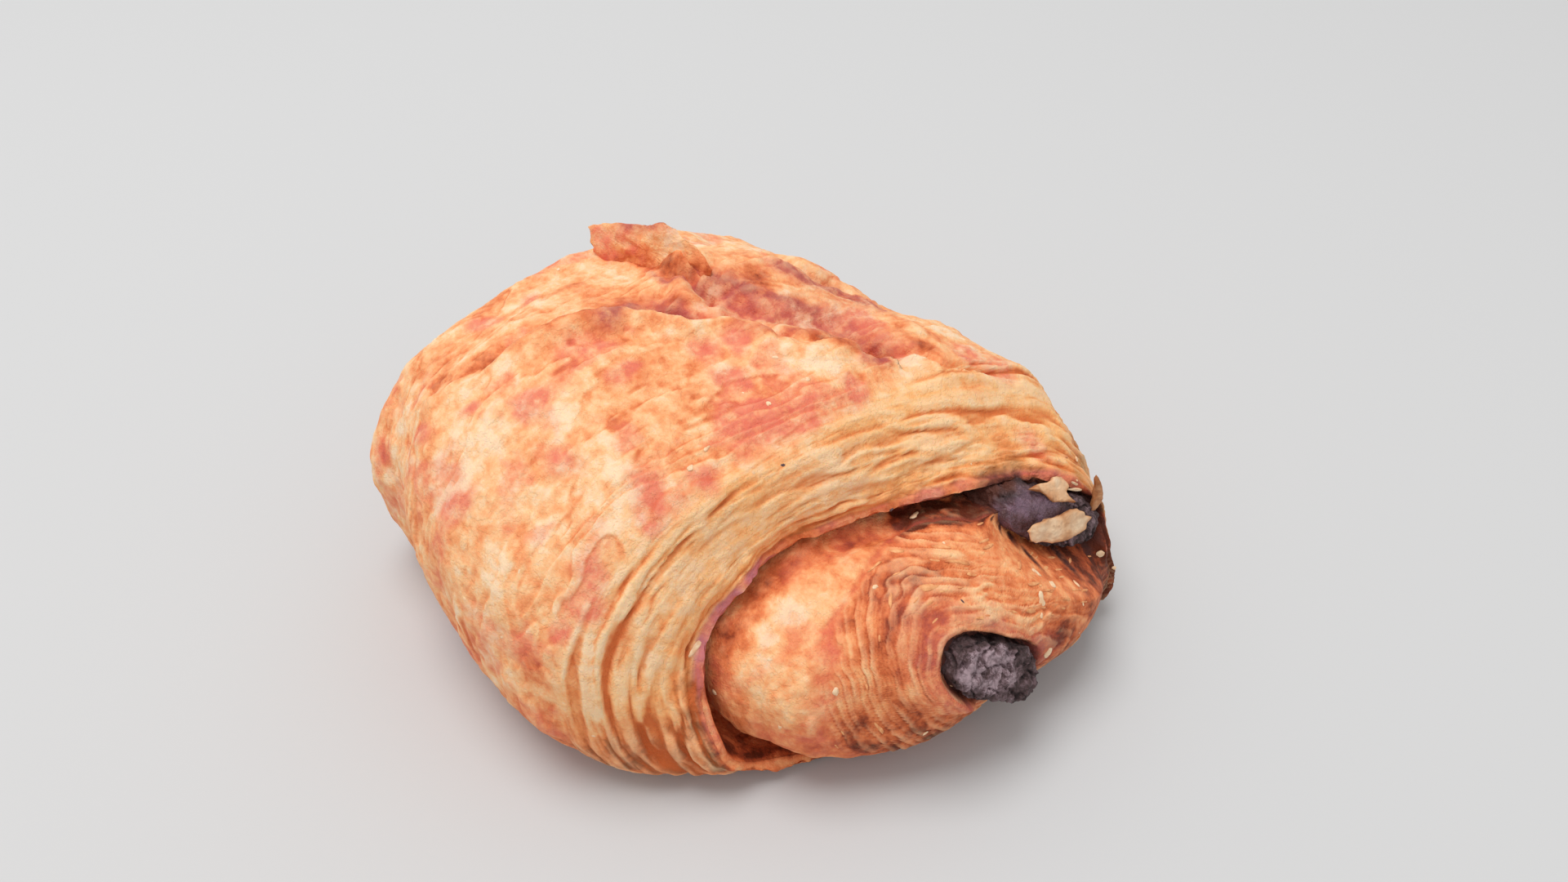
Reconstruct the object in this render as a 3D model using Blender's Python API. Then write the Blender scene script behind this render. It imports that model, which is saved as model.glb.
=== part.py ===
"""A pain au chocolat, lying on its flat underside with +Z up and its roll along X.

The dough is one closed loft. Its rings cross the roll: they start at the spiral at the far end, run over the
outer wrap to the wrap's cut lip, turn back into the groove behind the lip, and come out over the inner roll to
the snout. Folds, ridges and pockets are relief on that loft. Two chocolate batons run through the dough from end
to end, each in a bore that clears it. The flakes that stick to the upper baton are fused to it.

Lengths below are in millimetres. The meshes are in metres.
"""

import math
from collections import namedtuple

import bmesh
import bpy
import numpy as np
from mathutils import Matrix, Vector

MM = 0.001
CLEARANCE = 0.3  # between a baton and the dough round it
ORIGIN = (5.92, 3.40, 0.0)  # the middle of the pastry's underside, which goes to the world's origin

# Where a ring of dough lies: its place along the roll, its sides, its top and its underside. A ring is swung by
# yaw (mm along X for each mm of Y) and leaned by lean (mm along X for each mm above its widest height).
Ring = namedtuple("Ring", "x left right top bottom yaw lean")
LIP = Ring(37, -25, 41.8, 28.5, 0, 0.18, -0.37)
LIP_INSIDE = Ring(36.6, -24, 40.8, 27.4, 1.1, 0.18, -0.37)  # the lip is a sheet about 1 mm thick
WRAP = (
    Ring(-31, -38, 37, 40.5, -1, 0, 0),  # far shoulder
    Ring(-11, -42, 39, 44.5, -1, 0, 0),  # crown
    Ring(8, -42, 44.5, 42.5, -1, 0, 0),  # near shoulder
    Ring(22, -37.5, 49, 38, -1, 0.05, -0.1),  # where the cut layers start
    LIP,
)
ROLL = (
    LIP_INSIDE,
    Ring(28, -22, 39.5, 26, 2.5, 0.18, -0.3),  # bottom of the groove
    Ring(33.5, -21, 38.5, 26.5, 3, 0.16, -0.2),  # inner roll, out of the groove
    Ring(38, -19, 36.5, 26.5, 3, 0.14, -0.1),  # inner roll, shoulder
)

# A rounded end of the roll: where its pole is, and how far it reaches past its ring.
End = namedtuple("End", "y z reach squareness")
FAR_END = End(2, 18, -10, 3.0)
SNOUT = End(7, 15, 11.5, 2.0)
FAR_DIMPLE = 3.0  # the far spiral sinks in by this much at its middle

WIDEST = 0.4  # a ring is widest at this share of its height
UPPER_SQUARENESS = 2.5
LOWER_SQUARENESS = 3.2

# How the loft is numbered: one unit of t from each ring to the next, with an end's cap as one more unit.
T_FAR_POLE = -1.0
T_CUT_LAYERS = 2.8
T_LIP = len(WRAP) - 1.0
T_LIP_INSIDE = T_LIP + 1
T_SHOULDER = T_LIP_INSIDE + len(ROLL) - 1
T_SNOUT_POLE = T_SHOULDER + 1

# Rings of the mesh in each stretch of t, and corners round a ring.
STRETCHES = ((T_FAR_POLE, 0, 9), (0, T_CUT_LAYERS, 22), (T_CUT_LAYERS, T_LIP, 14), (T_LIP, T_LIP_INSIDE, 1),
             (T_LIP_INSIDE, T_SHOULDER, 12), (T_SHOULDER, T_SNOUT_POLE, 14))
CORNERS = 70
T_CROWN = 1.0
UNDERSIDE_CORNERS = 0.4  # corners on the flat underside, as a share of those on an equal length elsewhere

# Folds on top of the outer wrap, seen from above. A fold runs from its start to its end, and bows to its left.
Fold = namedtuple("Fold", "start end bow")
TORN_FLAP = Fold((-28.5, 1.5), (-9, 11), 2)
FAR_CREST = Fold((-23, 16), (-5, 28), -2)
VALLEY = Fold((-16, 7), (17, 29), -4)
SHEET_EDGE_X = (-16, 21)  # the wrap's edge lies at the first on the left side, and swings over to the second
SHEET_EDGE_SWING = (-12, 26)  # between these two sideways places
POCKET = (14.5, 18.0)  # the deepest spot of that edge
FAR_LOBE = (-24.0, -9.0)
KNOB = (-31.0, -37.0, 21.0)
SKIRT_HEIGHT = 4.5  # a fold along the underside's rim

LIP_WAVE = 0.6  # how far the lip wanders to and fro along the roll
LIP_BOW = 3.8  # how far the lip draws back over the left half of its top
LIP_BOW_ANGLE = math.radians(115)
LIP_BOW_SPREAD = math.radians(30)
CUT_RIDGES = 5  # ridges of layers on the wrap's cut edge
END_TERRACES = 7  # steps of layers on each rounded end
SHARP_ANGLE = 50

Baton = namedtuple("Baton", "near far width height tilt")
LOWER_BATON = Baton((49.3, 7.2, 16.4), (-38.6, 7.2, 17.5), 15.5, 8.0, -34.0)
UPPER_BATON = Baton((38.8, 29.8, 21.4), (-38.0, 19.0, 23.0), 18.5, 7.5, -30.0)
BATON_LEAN = -0.45  # a baton's near face leans back, mm along X for each mm of height; its far face stands
BATON_SQUARENESS = 2.8
BATON_RINGS = 15
BATON_SIDES = 24
BORE_OVERRUN = 12.0
MELT = 0.15  # how far a baton's sides swell and sink
FACE_DOME = ((0.9, 0.7), (0.6, 1.1), (0.3, 1.25))  # share of the section's size, and mm out from it

# A flake on the upper baton: its middle and size, the way that its length runs, and the way that it faces.
Flake = namedtuple("Flake", "middle length width along facing")
FLAKE_THICKNESS = 0.9
FLAKE_SIDES = 20
FLAKES = {
    "broad": Flake((40.5, 28.2, 21.9), 11.5, 4.8, (1.5, 12, -3.6), (1, 0.1, 0.5)),
    "upper": Flake((38.0, 28.5, 25.8), 8.0, 4.2, (1.5, 9, -5.0), (0.8, 0.1, 1.0)),
    "upright": Flake((39.8, 36.4, 20.9), 6.5, 3.4, (0.4, -0.3, 1.0), (0.8, -0.5, 0.2)),
}


def smooth_step(low, high, value):
    share = np.clip((value - low) / (high - low), 0, 1)
    return share * share * (3 - 2 * share)


def bump(distance, width):
    return np.exp(-((distance / width) ** 2))


def ripple(points, length, seed, waves=7):
    """A smooth uneven field between about -1 and 1, with hollows and rises of the given length."""
    draw = np.random.default_rng(seed)
    total = np.zeros(points.shape[:-1])
    for _ in range(waves):
        heading = draw.normal(size=3)
        heading *= draw.uniform(0.6, 1.4) * 2 * math.pi / length / np.linalg.norm(heading)
        total += np.sin(points @ heading + draw.uniform(0, 2 * math.pi))
    return total / math.sqrt(waves)


def beside(points, fold):
    """Distance from a fold, positive on its left, and 1 along the fold with a fade past its ends."""
    start, reach = np.array(fold.start, float), np.subtract(fold.end, fold.start)
    away = points[..., :2] - start
    length = math.hypot(*reach)
    passed = away @ reach / length**2
    across = (reach[0] * away[..., 1] - reach[1] * away[..., 0]) / length
    bowed = across - 4 * fold.bow * passed * (1 - passed)
    return bowed, passed, smooth_step(-0.08, 0.04, passed) * (1 - smooth_step(0.8, 1.15, passed))


def through(rings, t):
    """The ring at t of a row of rings, by a Catmull-Rom curve through them."""
    rows = np.array(rings, float)
    last = len(rows) - 1
    index = np.clip(np.floor(t).astype(int), 0, last - 1)
    f = (t - index)[:, None]
    before, start = rows[np.maximum(index - 1, 0)], rows[index]
    end, after = rows[index + 1], rows[np.minimum(index + 2, last)]
    bend = 2 * before - 5 * start + 4 * end - after
    twist = 3 * (start - end) + after - before
    return start + 0.5 * (f * (end - before) + f**2 * bend + f**3 * twist)


def rounded_end(ring, end, share):
    """The rings between an end's first ring and its pole, which is at a share of 1."""
    angle = share * math.pi / 2
    power = 2 / end.squareness
    size = np.maximum(np.cos(angle), 0) ** power
    x = ring.x + end.reach * np.sin(angle) ** power
    sides = [end.y + (side - end.y) * size for side in (ring.left, ring.right)]
    heights = [end.z + (height - end.z) * size for height in (ring.top, ring.bottom)]
    swing = np.ones_like(share)
    return np.stack([x, *sides, *heights, ring.yaw * swing, ring.lean * swing], axis=-1)


def rings_at(t):
    """One row of ring values for each t."""
    rows = np.empty((len(t), len(Ring._fields)))
    far, wrap, edge, roll, snout = (t[:, None] >= (T_FAR_POLE, 0, T_LIP, T_LIP_INSIDE, T_SHOULDER)).T
    rows[far] = rounded_end(WRAP[0], FAR_END, np.maximum(-t[far], 0))
    rows[far, 0] += FAR_DIMPLE * np.maximum(-t[far], 0) ** 4
    rows[wrap] = through(WRAP, np.minimum(t[wrap], T_LIP))
    rows[edge] = through((LIP, LIP_INSIDE), np.minimum(t[edge] - T_LIP, 1))
    rows[roll] = through(ROLL, np.minimum(t[roll], T_SHOULDER) - T_LIP_INSIDE)
    rows[snout] = rounded_end(ROLL[-1], SNOUT, t[snout] - T_SHOULDER)
    return rows


def power_of(value, squareness):
    return np.sign(value) * np.abs(value) ** (2 / squareness)


def lip_bow(t, angle):
    there = smooth_step(T_CUT_LAYERS, T_LIP, t) * (1 - smooth_step(T_LIP_INSIDE + 0.5, T_LIP_INSIDE + 2, t))
    return LIP_BOW * there[:, None] * bump(angle - LIP_BOW_ANGLE, LIP_BOW_SPREAD)[None]


def bare_loft(t, angle):
    """The loft without its relief: a grid of points, one row for each t and one column for each angle."""
    x, left, right, top, bottom, yaw, lean = (column[:, None] for column in rings_at(t).T)
    across, up = np.cos(angle)[None], np.sin(angle)[None]
    widest = bottom + (top - bottom) * WIDEST
    y = (right - left) / 2 * power_of(across, UPPER_SQUARENESS)
    above = (top - widest) * power_of(np.maximum(up, 0), UPPER_SQUARENESS)
    below = (widest - bottom) * power_of(np.minimum(up, 0), LOWER_SQUARENESS)
    rise = above + below
    along = x + yaw * y + lean * rise - lip_bow(t, angle)
    return np.stack([along, (left + right) / 2 + y, widest + rise], axis=-1)


def normals_of(grid):
    """Unit normals of a grid that closes on itself along its columns, pointing out of the dough."""
    along = np.gradient(grid, axis=0)
    round_ring = np.roll(grid, -1, axis=1) - np.roll(grid, 1, axis=1)
    normals = np.cross(round_ring, along)
    lengths = np.linalg.norm(normals, axis=-1, keepdims=True)
    return normals / np.maximum(lengths, 1e-9)


def wrap_folds(points):
    """Heights of the folds on top of the outer wrap."""
    x, y = points[..., 0], points[..., 1]
    swing = smooth_step(*SHEET_EDGE_SWING, y)
    edge = x - SHEET_EDGE_X[0] - (SHEET_EDGE_X[1] - SHEET_EDGE_X[0]) * swing
    folds = 0.9 * bump(edge - 1.2, 1.8) - 1.1 * bump(edge + 1.5, 1.4)
    valley, _, there = beside(points, VALLEY)
    folds -= 2.4 * bump(valley, 3.2) * there
    crest, _, there = beside(points, FAR_CREST)
    folds += 1.8 * smooth_step(-1.0, 0.8, crest) * bump(crest, 7) * there
    flap, passed, there = beside(points, TORN_FLAP)
    rise = 7.0 - 4.5 * np.clip(passed, 0, 1)
    folds += rise * smooth_step(-3.4, 1.6, flap) * bump(np.maximum(flap - 1, 0), 5) * there
    folds -= 2.5 * bump(np.hypot(x - POCKET[0], y - POCKET[1]), 2.4)
    folds += 1.2 * bump(np.hypot(x - FAR_LOBE[0], y - FAR_LOBE[1]), 9)
    return folds


def cut_layers(t, points):
    """Ridges along the wrap's cut edge, with pockets between them."""
    share = (t - T_CUT_LAYERS) / (T_LIP - T_CUT_LAYERS)
    ridge = np.sin(2 * math.pi * (share * CUT_RIDGES + 0.35 * ripple(points, 30, 11)))
    depth = 0.45 * (1 + 0.5 * ripple(points, 16, 12))
    return depth * ridge * smooth_step(0, 0.12, share) * (1 - smooth_step(0.9, 1, share))


def end_terraces(t, points):
    """Fine steps of the layers that show round the batons, on the snout and at the far end."""
    share = np.maximum(t - T_SHOULDER + 0.1, -t)
    wave = share * END_TERRACES + 0.3 * ripple(points, 25, 21)
    return 0.3 * np.sin(2 * math.pi * wave) * smooth_step(0, 0.15, share) * (1 - smooth_step(0.8, 0.95, share))


def relief(t, points):
    """How far each point of the bare loft is pushed out."""
    t = t[:, None]
    height = points[..., 2]
    on_wrap = (1 - smooth_step(T_CUT_LAYERS - 0.1, T_CUT_LAYERS + 0.3, t)) * smooth_step(-0.9, -0.4, t)
    pushed = 0.7 * ripple(points, 30, 1) + 0.3 * ripple(points, 12, 2)
    pushed *= smooth_step(0, 0.5, np.maximum(T_LIP - t, t - T_LIP_INSIDE))
    pushed += wrap_folds(points) * on_wrap * smooth_step(24, 32, height)
    pushed += cut_layers(t, points)
    pushed += end_terraces(t, points)
    pushed += 0.9 * bump(height - SKIRT_HEIGHT, 2.0) * (1 - smooth_step(T_LIP - 0.4, T_LIP, t))
    pushed += 1.8 * bump(np.linalg.norm(points - KNOB, axis=-1), 7)
    return pushed * smooth_step(1.0, 4.0, height)


def dough_grid(t, angle):
    points = bare_loft(t, angle)
    points = points + normals_of(points) * relief(t, points)[..., None]
    near_lip = bump(np.maximum(np.maximum(T_LIP - t, t - T_LIP_INSIDE), 0), 0.5)
    points[..., 0] += LIP_WAVE * ripple(points, 16, 41) * near_lip[:, None]
    points[..., 2] = np.maximum(points[..., 2], 0)
    return points


def mesh_object(name, rings, first_pole, last_pole, origin=ORIGIN):
    """A closed mesh object over a row of rings (mm), fanned to a pole at each end."""
    mesh = bpy.data.meshes.new(name)
    built = bmesh.new()
    rows = [[built.verts.new((point - origin) * MM) for point in ring] for ring in rings]
    for row, following in zip(rows, rows[1:]):
        for i in range(len(row)):
            k = (i + 1) % len(row)
            built.faces.new((row[i], row[k], following[k], following[i]))
    for row, pole in ((rows[0], first_pole), (rows[-1], last_pole)):
        tip = built.verts.new(np.subtract(pole, origin) * MM)
        for i in range(len(row)):
            built.faces.new((tip, row[i], row[(i + 1) % len(row)]))
    bmesh.ops.recalc_face_normals(built, faces=built.faces)
    built.to_mesh(mesh)
    built.free()
    mesh.shade_smooth()
    return bpy.data.objects.new(name, mesh)


def material(name, colour, roughness):
    made = bpy.data.materials.new(name)
    made.use_nodes = True
    shader = made.node_tree.nodes["Principled BSDF"]
    shader.inputs["Base Color"].default_value = (*colour, 1)
    shader.inputs["Roughness"].default_value = roughness
    shader.inputs["Metallic"].default_value = 0
    made.diffuse_color = (*colour, 1)
    return made


def even_angles(count):
    """Angles that space the corners evenly round the crown's ring, wider apart on its underside."""
    fine = np.linspace(0, 2 * math.pi, 40 * count)
    ring = bare_loft(np.array([T_CROWN]), fine)[0]
    steps = np.linalg.norm(np.diff(ring, axis=0), axis=1)
    steps *= np.where(ring[1:, 2] < SKIRT_HEIGHT / 4, UNDERSIDE_CORNERS, 1)
    passed = np.concatenate([[0], np.cumsum(steps)])
    return np.interp(np.linspace(0, passed[-1], count, endpoint=False), passed, fine)


def dough_object():
    t = np.concatenate([np.linspace(low, high, count, endpoint=False) for low, high, count in STRETCHES])[1:]
    angle = even_angles(CORNERS)
    grid = dough_grid(t, angle)
    poles = bare_loft(np.array([T_FAR_POLE, T_SNOUT_POLE]), angle).mean(axis=1)
    return mesh_object("pastry", grid, *poles)


def baton_rings(baton, grow=0.0, overrun=0.0):
    """Rings along a baton. A bore is the same shape, grown on every side and run on past both ends."""
    near, far = np.array(baton.near, float), np.array(baton.far, float)
    axis = (near - far) / np.linalg.norm(near - far)
    angle = np.linspace(0, 2 * math.pi, BATON_SIDES, endpoint=False)
    u = (baton.width / 2 + grow) * power_of(np.cos(angle), BATON_SQUARENESS)
    w = (baton.height / 2 + grow) * power_of(np.sin(angle), BATON_SQUARENESS)
    tilt = math.radians(baton.tilt)
    y = u * math.cos(tilt) - w * math.sin(tilt)
    z = u * math.sin(tilt) + w * math.cos(tilt)
    start, end = far - axis * overrun, near + axis * overrun
    share = np.linspace(0, 1, BATON_RINGS)[:, None, None]
    rings = start + (end - start) * share + np.stack([0 * y, y, z], axis=-1)
    rings[..., 0] += BATON_LEAN * z * share[..., 0]
    return rings


def baton_object(name, baton):
    """A baton with a slightly domed face at each end."""
    body = baton_rings(baton)
    body = body + MELT * ripple(body, 9, 31)[..., None] * (0, 0.5, 1)
    far, near = np.array(baton.far), np.array(baton.near)
    far_face = [far + (body[0] - far) * size - (out, 0, 0) for size, out in reversed(FACE_DOME)]
    near_face = [near + (body[-1] - near) * size + (out, 0, 0) for size, out in FACE_DOME]
    middle = FACE_DOME[-1][1]
    return mesh_object(name, [*far_face, *body, *near_face], far - (middle, 0, 0), near + (middle, 0, 0))


def flake_object(name, flake):
    """A thin wavy flake with an uneven outline, from the middle of its top over its rim to its underside."""
    angle = np.linspace(0, 2 * math.pi, FLAKE_SIDES, endpoint=False)
    outline = np.stack([flake.length / 2 * np.cos(angle), flake.width / 2 * np.sin(angle)], axis=-1)
    ragged = 1 + 0.1 * np.sin(5 * angle + len(name)) + 0.06 * np.sin(9 * angle)
    rings = []
    for size, side in ((0.5, 1), (0.92, 1), (1, 0), (0.92, -1), (0.5, -1)):
        flat = outline * (ragged * size)[:, None]
        wave = 0.35 * np.sin(flat[:, 0] * 1.1) + 0.25 * np.sin(flat[:, 1] * 1.7)
        rings.append(np.column_stack([flat, wave + side * FLAKE_THICKNESS / 2]))
    half = FLAKE_THICKNESS / 2
    placed = mesh_object(name, rings, (0, 0, half), (0, 0, -half), origin=(0, 0, 0))
    along, facing = Vector(flake.along).normalized(), Vector(flake.facing)
    across = facing.cross(along).normalized()
    turned = Matrix((along, across, along.cross(across))).transposed()
    place = (Vector(flake.middle) - Vector(ORIGIN)) * MM
    placed.matrix_world = Matrix.LocRotScale(place, turned.to_quaternion(), None)
    return placed


def applied(obj):
    """Leaves the object with the mesh that its modifiers make."""
    bpy.context.view_layer.update()
    evaluated = obj.evaluated_get(bpy.context.evaluated_depsgraph_get())
    mesh = bpy.data.meshes.new_from_object(evaluated)
    obj.modifiers.clear()
    obj.data = mesh
    mesh.shade_smooth()
    mesh.set_sharp_from_angle(angle=math.radians(SHARP_ANGLE))


def boolean(obj, operation, others):
    """Joins a collection's objects to this one, or cuts them out of it."""
    change = obj.modifiers.new(operation.title(), "BOOLEAN")
    change.operation = operation
    change.operand_type = "COLLECTION"
    change.collection = others
    change.solver = "EXACT"


def new_collection(name):
    collection = bpy.data.collections.new(name)
    bpy.context.scene.collection.children.link(collection)
    return collection


def main():
    for obj in list(bpy.data.objects):
        bpy.data.objects.remove(obj)
    parts, bores, flakes = (new_collection(name) for name in ("pain_au_chocolat", "bores", "flakes"))

    pastry = dough_object()
    pastry.data.materials.append(material("baked dough", (0.78, 0.42, 0.19), 0.55))
    parts.objects.link(pastry)

    chocolate = material("dark chocolate", (0.045, 0.028, 0.030), 0.45)
    batons = {"chocolate_baton_lower": LOWER_BATON, "chocolate_baton_upper": UPPER_BATON}
    for name, baton in batons.items():
        piece = baton_object(name, baton)
        piece.data.materials.append(chocolate)
        parts.objects.link(piece)
        rings = baton_rings(baton, grow=CLEARANCE + MELT, overrun=BORE_OVERRUN)
        bore = mesh_object(name + "_bore", rings, rings[0].mean(axis=0), rings[-1].mean(axis=0))
        bore.display_type = "WIRE"
        bores.objects.link(bore)
    bores.hide_render = True
    boolean(pastry, "DIFFERENCE", bores)
    applied(pastry)

    for name, flake in FLAKES.items():
        flakes.objects.link(flake_object(name, flake))
    upper = parts.objects["chocolate_baton_upper"]
    boolean(upper, "UNION", flakes)
    applied(upper)
    for obj in list(flakes.objects):
        bpy.data.objects.remove(obj)
    bpy.data.collections.remove(flakes)


main()
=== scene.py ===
"""The looks of a pain au chocolat: baked, flaky dough round two chocolate batons.

The dough is the same loft as in the solids, on a fine grid with the real surface's relief: folds and torn
sheets on top, the cut layers of the wrap, the groove behind its lip, and the layers that coil round the batons.
Grids of masks go with the relief, and the dough's material mixes its colours by them.

Lengths are in millimetres, in the solids' own loft coordinates. ORIGIN is the frame's origin in them.
"""

import itertools
import math
from collections import namedtuple

import bpy
import numpy as np
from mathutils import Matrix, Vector

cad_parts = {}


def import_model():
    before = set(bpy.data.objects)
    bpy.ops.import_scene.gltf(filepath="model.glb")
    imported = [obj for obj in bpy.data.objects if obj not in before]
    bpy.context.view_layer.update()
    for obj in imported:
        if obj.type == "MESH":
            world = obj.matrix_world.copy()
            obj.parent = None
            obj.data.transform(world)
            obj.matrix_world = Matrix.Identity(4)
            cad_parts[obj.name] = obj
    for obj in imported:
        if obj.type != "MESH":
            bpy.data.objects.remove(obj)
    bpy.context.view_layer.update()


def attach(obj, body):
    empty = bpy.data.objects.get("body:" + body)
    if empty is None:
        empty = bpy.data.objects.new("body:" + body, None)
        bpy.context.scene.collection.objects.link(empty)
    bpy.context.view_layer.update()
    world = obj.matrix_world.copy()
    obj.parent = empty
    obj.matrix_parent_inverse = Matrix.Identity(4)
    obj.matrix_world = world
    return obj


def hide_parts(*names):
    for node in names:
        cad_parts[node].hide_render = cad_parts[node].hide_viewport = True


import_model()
bpy.context.scene.view_settings.view_transform = "Standard"

MM = 0.001
ORIGIN = np.array((5.92, 3.40, 0.0))

# The camera, and the photograph's frame in pixels.
AZIMUTH, ELEVATION = 50.0, 41.0
DISTANCE = 175.0
TARGET = np.array((3.2, 10.3, 23.0))
UPRIGHT_ANGLE = 41.0
FRAME_WIDTH, FRAME_HEIGHT = 1920, 1080

# The loft's rings, as in the solids.
Ring = namedtuple("Ring", "x left right top bottom yaw lean")
LIP = Ring(37, -25, 41.8, 28.5, 0, 0.18, -0.37)
LIP_INSIDE = Ring(36.6, -24, 40.8, 27.4, 1.1, 0.18, -0.37)
WRAP = (
    Ring(-31, -38, 37, 40.5, -1, 0, 0),  # far shoulder
    Ring(-11, -42, 39, 44.5, -1, 0, 0),  # crown
    Ring(8, -42, 44.5, 42.5, -1, 0, 0),  # near shoulder
    Ring(22, -37.5, 49, 38, -1, 0.05, -0.1),  # where the cut layers start
    LIP,
)
ROLL = (
    LIP_INSIDE,
    Ring(28, -22, 39.5, 26, 2.5, 0.18, -0.3),  # bottom of the groove
    Ring(33.5, -21, 38.5, 26.5, 3, 0.16, -0.2),  # inner roll, out of the groove
    Ring(38, -19, 36.5, 26.5, 3, 0.14, -0.1),  # inner roll, shoulder
)
End = namedtuple("End", "y z reach squareness")
FAR_END = End(2, 18, -10, 3.0)
SNOUT = End(7, 15, 11.5, 2.0)
FAR_DIMPLE = 3.0
WIDEST = 0.4
UPPER_SQUARENESS = 2.5
LOWER_SQUARENESS = 3.2
T_FAR_POLE, T_CROWN, T_CUT_LAYERS, T_LIP = -1, 1, 2.8, 4
T_LIP_INSIDE, T_GROOVE, T_SHOULDER, T_SNOUT_POLE = 5, 6, 8, 9
LIP_WAVE = 0.6
LIP_BOW = 3.8
LIP_BOW_ANGLE = math.radians(115)
LIP_BOW_SPREAD = math.radians(30)
KNOB = (-31.0, -37.0, 21.0)
KNOB_HEIGHT, KNOB_RADIUS = 1.8, 7
SKIRT_HEIGHT, SKIRT_SWELL, SKIRT_REACH = 4.5, 0.9, 2.0

# The fine grid: its pieces, each a stretch of t, with that many rows.
DOUGH_PIECES = {
    "far_end_spiral": (T_FAR_POLE, 0, 90),
    "outer_wrap": (0, T_CUT_LAYERS, 170),
    "cut_layers_and_lip": (T_CUT_LAYERS, T_LIP_INSIDE, 118),
    "inner_roll": (T_LIP_INSIDE, T_SHOULDER, 84),
    "snout_layers": (T_SHOULDER, T_SNOUT_POLE, 110),
}
COLUMNS = 560
UNDERSIDE_COLUMNS = 0.4


# -------------------------------------------------------------------------------- fields of numbers


def smooth_step(low, high, value):
    share = np.clip((value - low) / (high - low), 0, 1)
    return share * share * (3 - 2 * share)


def fade(low, high, value):
    return 1 - smooth_step(low, high, value)


def bump(distance, width):
    return np.exp(-((distance / width) ** 2))


def unit_of(vector):
    return vector / max(np.linalg.norm(vector), 1e-6)


def lengths_along(line):
    """How much of a line of points is passed at each of them."""
    return np.concatenate([[0], np.cumsum(np.linalg.norm(np.diff(line, axis=0), axis=1))])


def from_segment(away, reach):
    """How much of a segment is passed, and how far off it lies, at places this far away from its start."""
    share = np.clip(away @ reach / (reach @ reach), 0, 1)
    return share, np.linalg.norm(away - share[..., None] * reach, axis=-1)


def ripple(points, length, seed, waves=7):
    """A smooth uneven field between about -1 and 1, the same as in the solids."""
    draw = np.random.default_rng(seed)
    total = np.zeros(points.shape[:-1])
    for _ in range(waves):
        heading = draw.normal(size=3)
        heading *= draw.uniform(0.6, 1.4) * 2 * math.pi / length / np.linalg.norm(heading)
        total += np.sin(points @ heading + draw.uniform(0, 2 * math.pi))
    return total / math.sqrt(waves)


def hashed(lattice, seed):
    """A repeatable number from 0 to 1 for each cell of a lattice."""
    turned = lattice @ np.array((127.1, 311.7, 74.7))[: lattice.shape[-1]] + 19.19 * seed
    return np.modf(np.abs(np.sin(turned)) * 43758.5453)[0]


def fuzz(places, size, seed, octaves=3):
    """Fractal noise between about -1 and 1 whose largest blobs have this size."""
    total = 0
    for octave in range(octaves):
        scaled = places * (2**octave / size) + 7.3 * octave
        base = np.floor(scaled)
        share = smooth_step(0, 1, scaled - base)
        value = 0
        for corner in itertools.product((0, 1), repeat=places.shape[-1]):
            weight = np.prod(np.where(corner, share, 1 - share), axis=-1)
            value = value + weight * hashed(base + corner, seed + octave)
        total = total + (2 * value - 1) * 0.5**octave
    return total


def blurred(field, reach):
    """The field averaged over this many grid steps each way, closed round the rings."""
    for axis, mode in ((1, "wrap"), (0, "edge")):
        padded = np.pad(field, [(reach + 1, reach) if a == axis else (0, 0) for a in (0, 1)], mode=mode)
        total = np.cumsum(padded, axis=axis)
        width = 2 * reach + 1
        upper, lower = np.split(total, [width], axis=axis)[1], np.split(total, [-width], axis=axis)[0]
        field = (upper - lower) / width
    return field


# ----------------------------------------------------------------------------------------- the loft


def through(rings, t):
    """The ring at t of a row of rings, by a Catmull-Rom curve through them."""
    rows = np.array(rings, float)
    last = len(rows) - 1
    index = np.clip(np.floor(t).astype(int), 0, last - 1)
    f = (t - index)[:, None]
    before, start = rows[np.maximum(index - 1, 0)], rows[index]
    end, after = rows[index + 1], rows[np.minimum(index + 2, last)]
    bend = 2 * before - 5 * start + 4 * end - after
    twist = 3 * (start - end) + after - before
    return start + 0.5 * (f * (end - before) + f**2 * bend + f**3 * twist)


def rounded_end(ring, end, share):
    """The rings between an end's first ring and its pole, which is at a share of 1."""
    angle = share * math.pi / 2
    power = 2 / end.squareness
    size = np.maximum(np.cos(angle), 0) ** power
    x = ring.x + end.reach * np.sin(angle) ** power
    sides = [end.y + (side - end.y) * size for side in (ring.left, ring.right)]
    heights = [end.z + (height - end.z) * size for height in (ring.top, ring.bottom)]
    swing = np.ones_like(share)
    return np.stack([x, *sides, *heights, ring.yaw * swing, ring.lean * swing], axis=-1)


def rings_at(t):
    """One row of ring values for each t."""
    rows = np.empty((len(t), len(Ring._fields)))
    far, wrap, edge, roll, snout = (t[:, None] >= (T_FAR_POLE, 0, T_LIP, T_LIP_INSIDE, T_SHOULDER)).T
    rows[far] = rounded_end(WRAP[0], FAR_END, np.maximum(-t[far], 0))
    rows[far, 0] += FAR_DIMPLE * np.maximum(-t[far], 0) ** 4
    rows[wrap] = through(WRAP, np.minimum(t[wrap], T_LIP))
    rows[edge] = through((LIP, LIP_INSIDE), np.minimum(t[edge] - T_LIP, 1))
    rows[roll] = through(ROLL, np.minimum(t[roll], T_SHOULDER) - T_LIP_INSIDE)
    rows[snout] = rounded_end(ROLL[-1], SNOUT, t[snout] - T_SHOULDER)
    return rows


def power_of(value, squareness):
    return np.sign(value) * np.abs(value) ** (2 / squareness)


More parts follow.
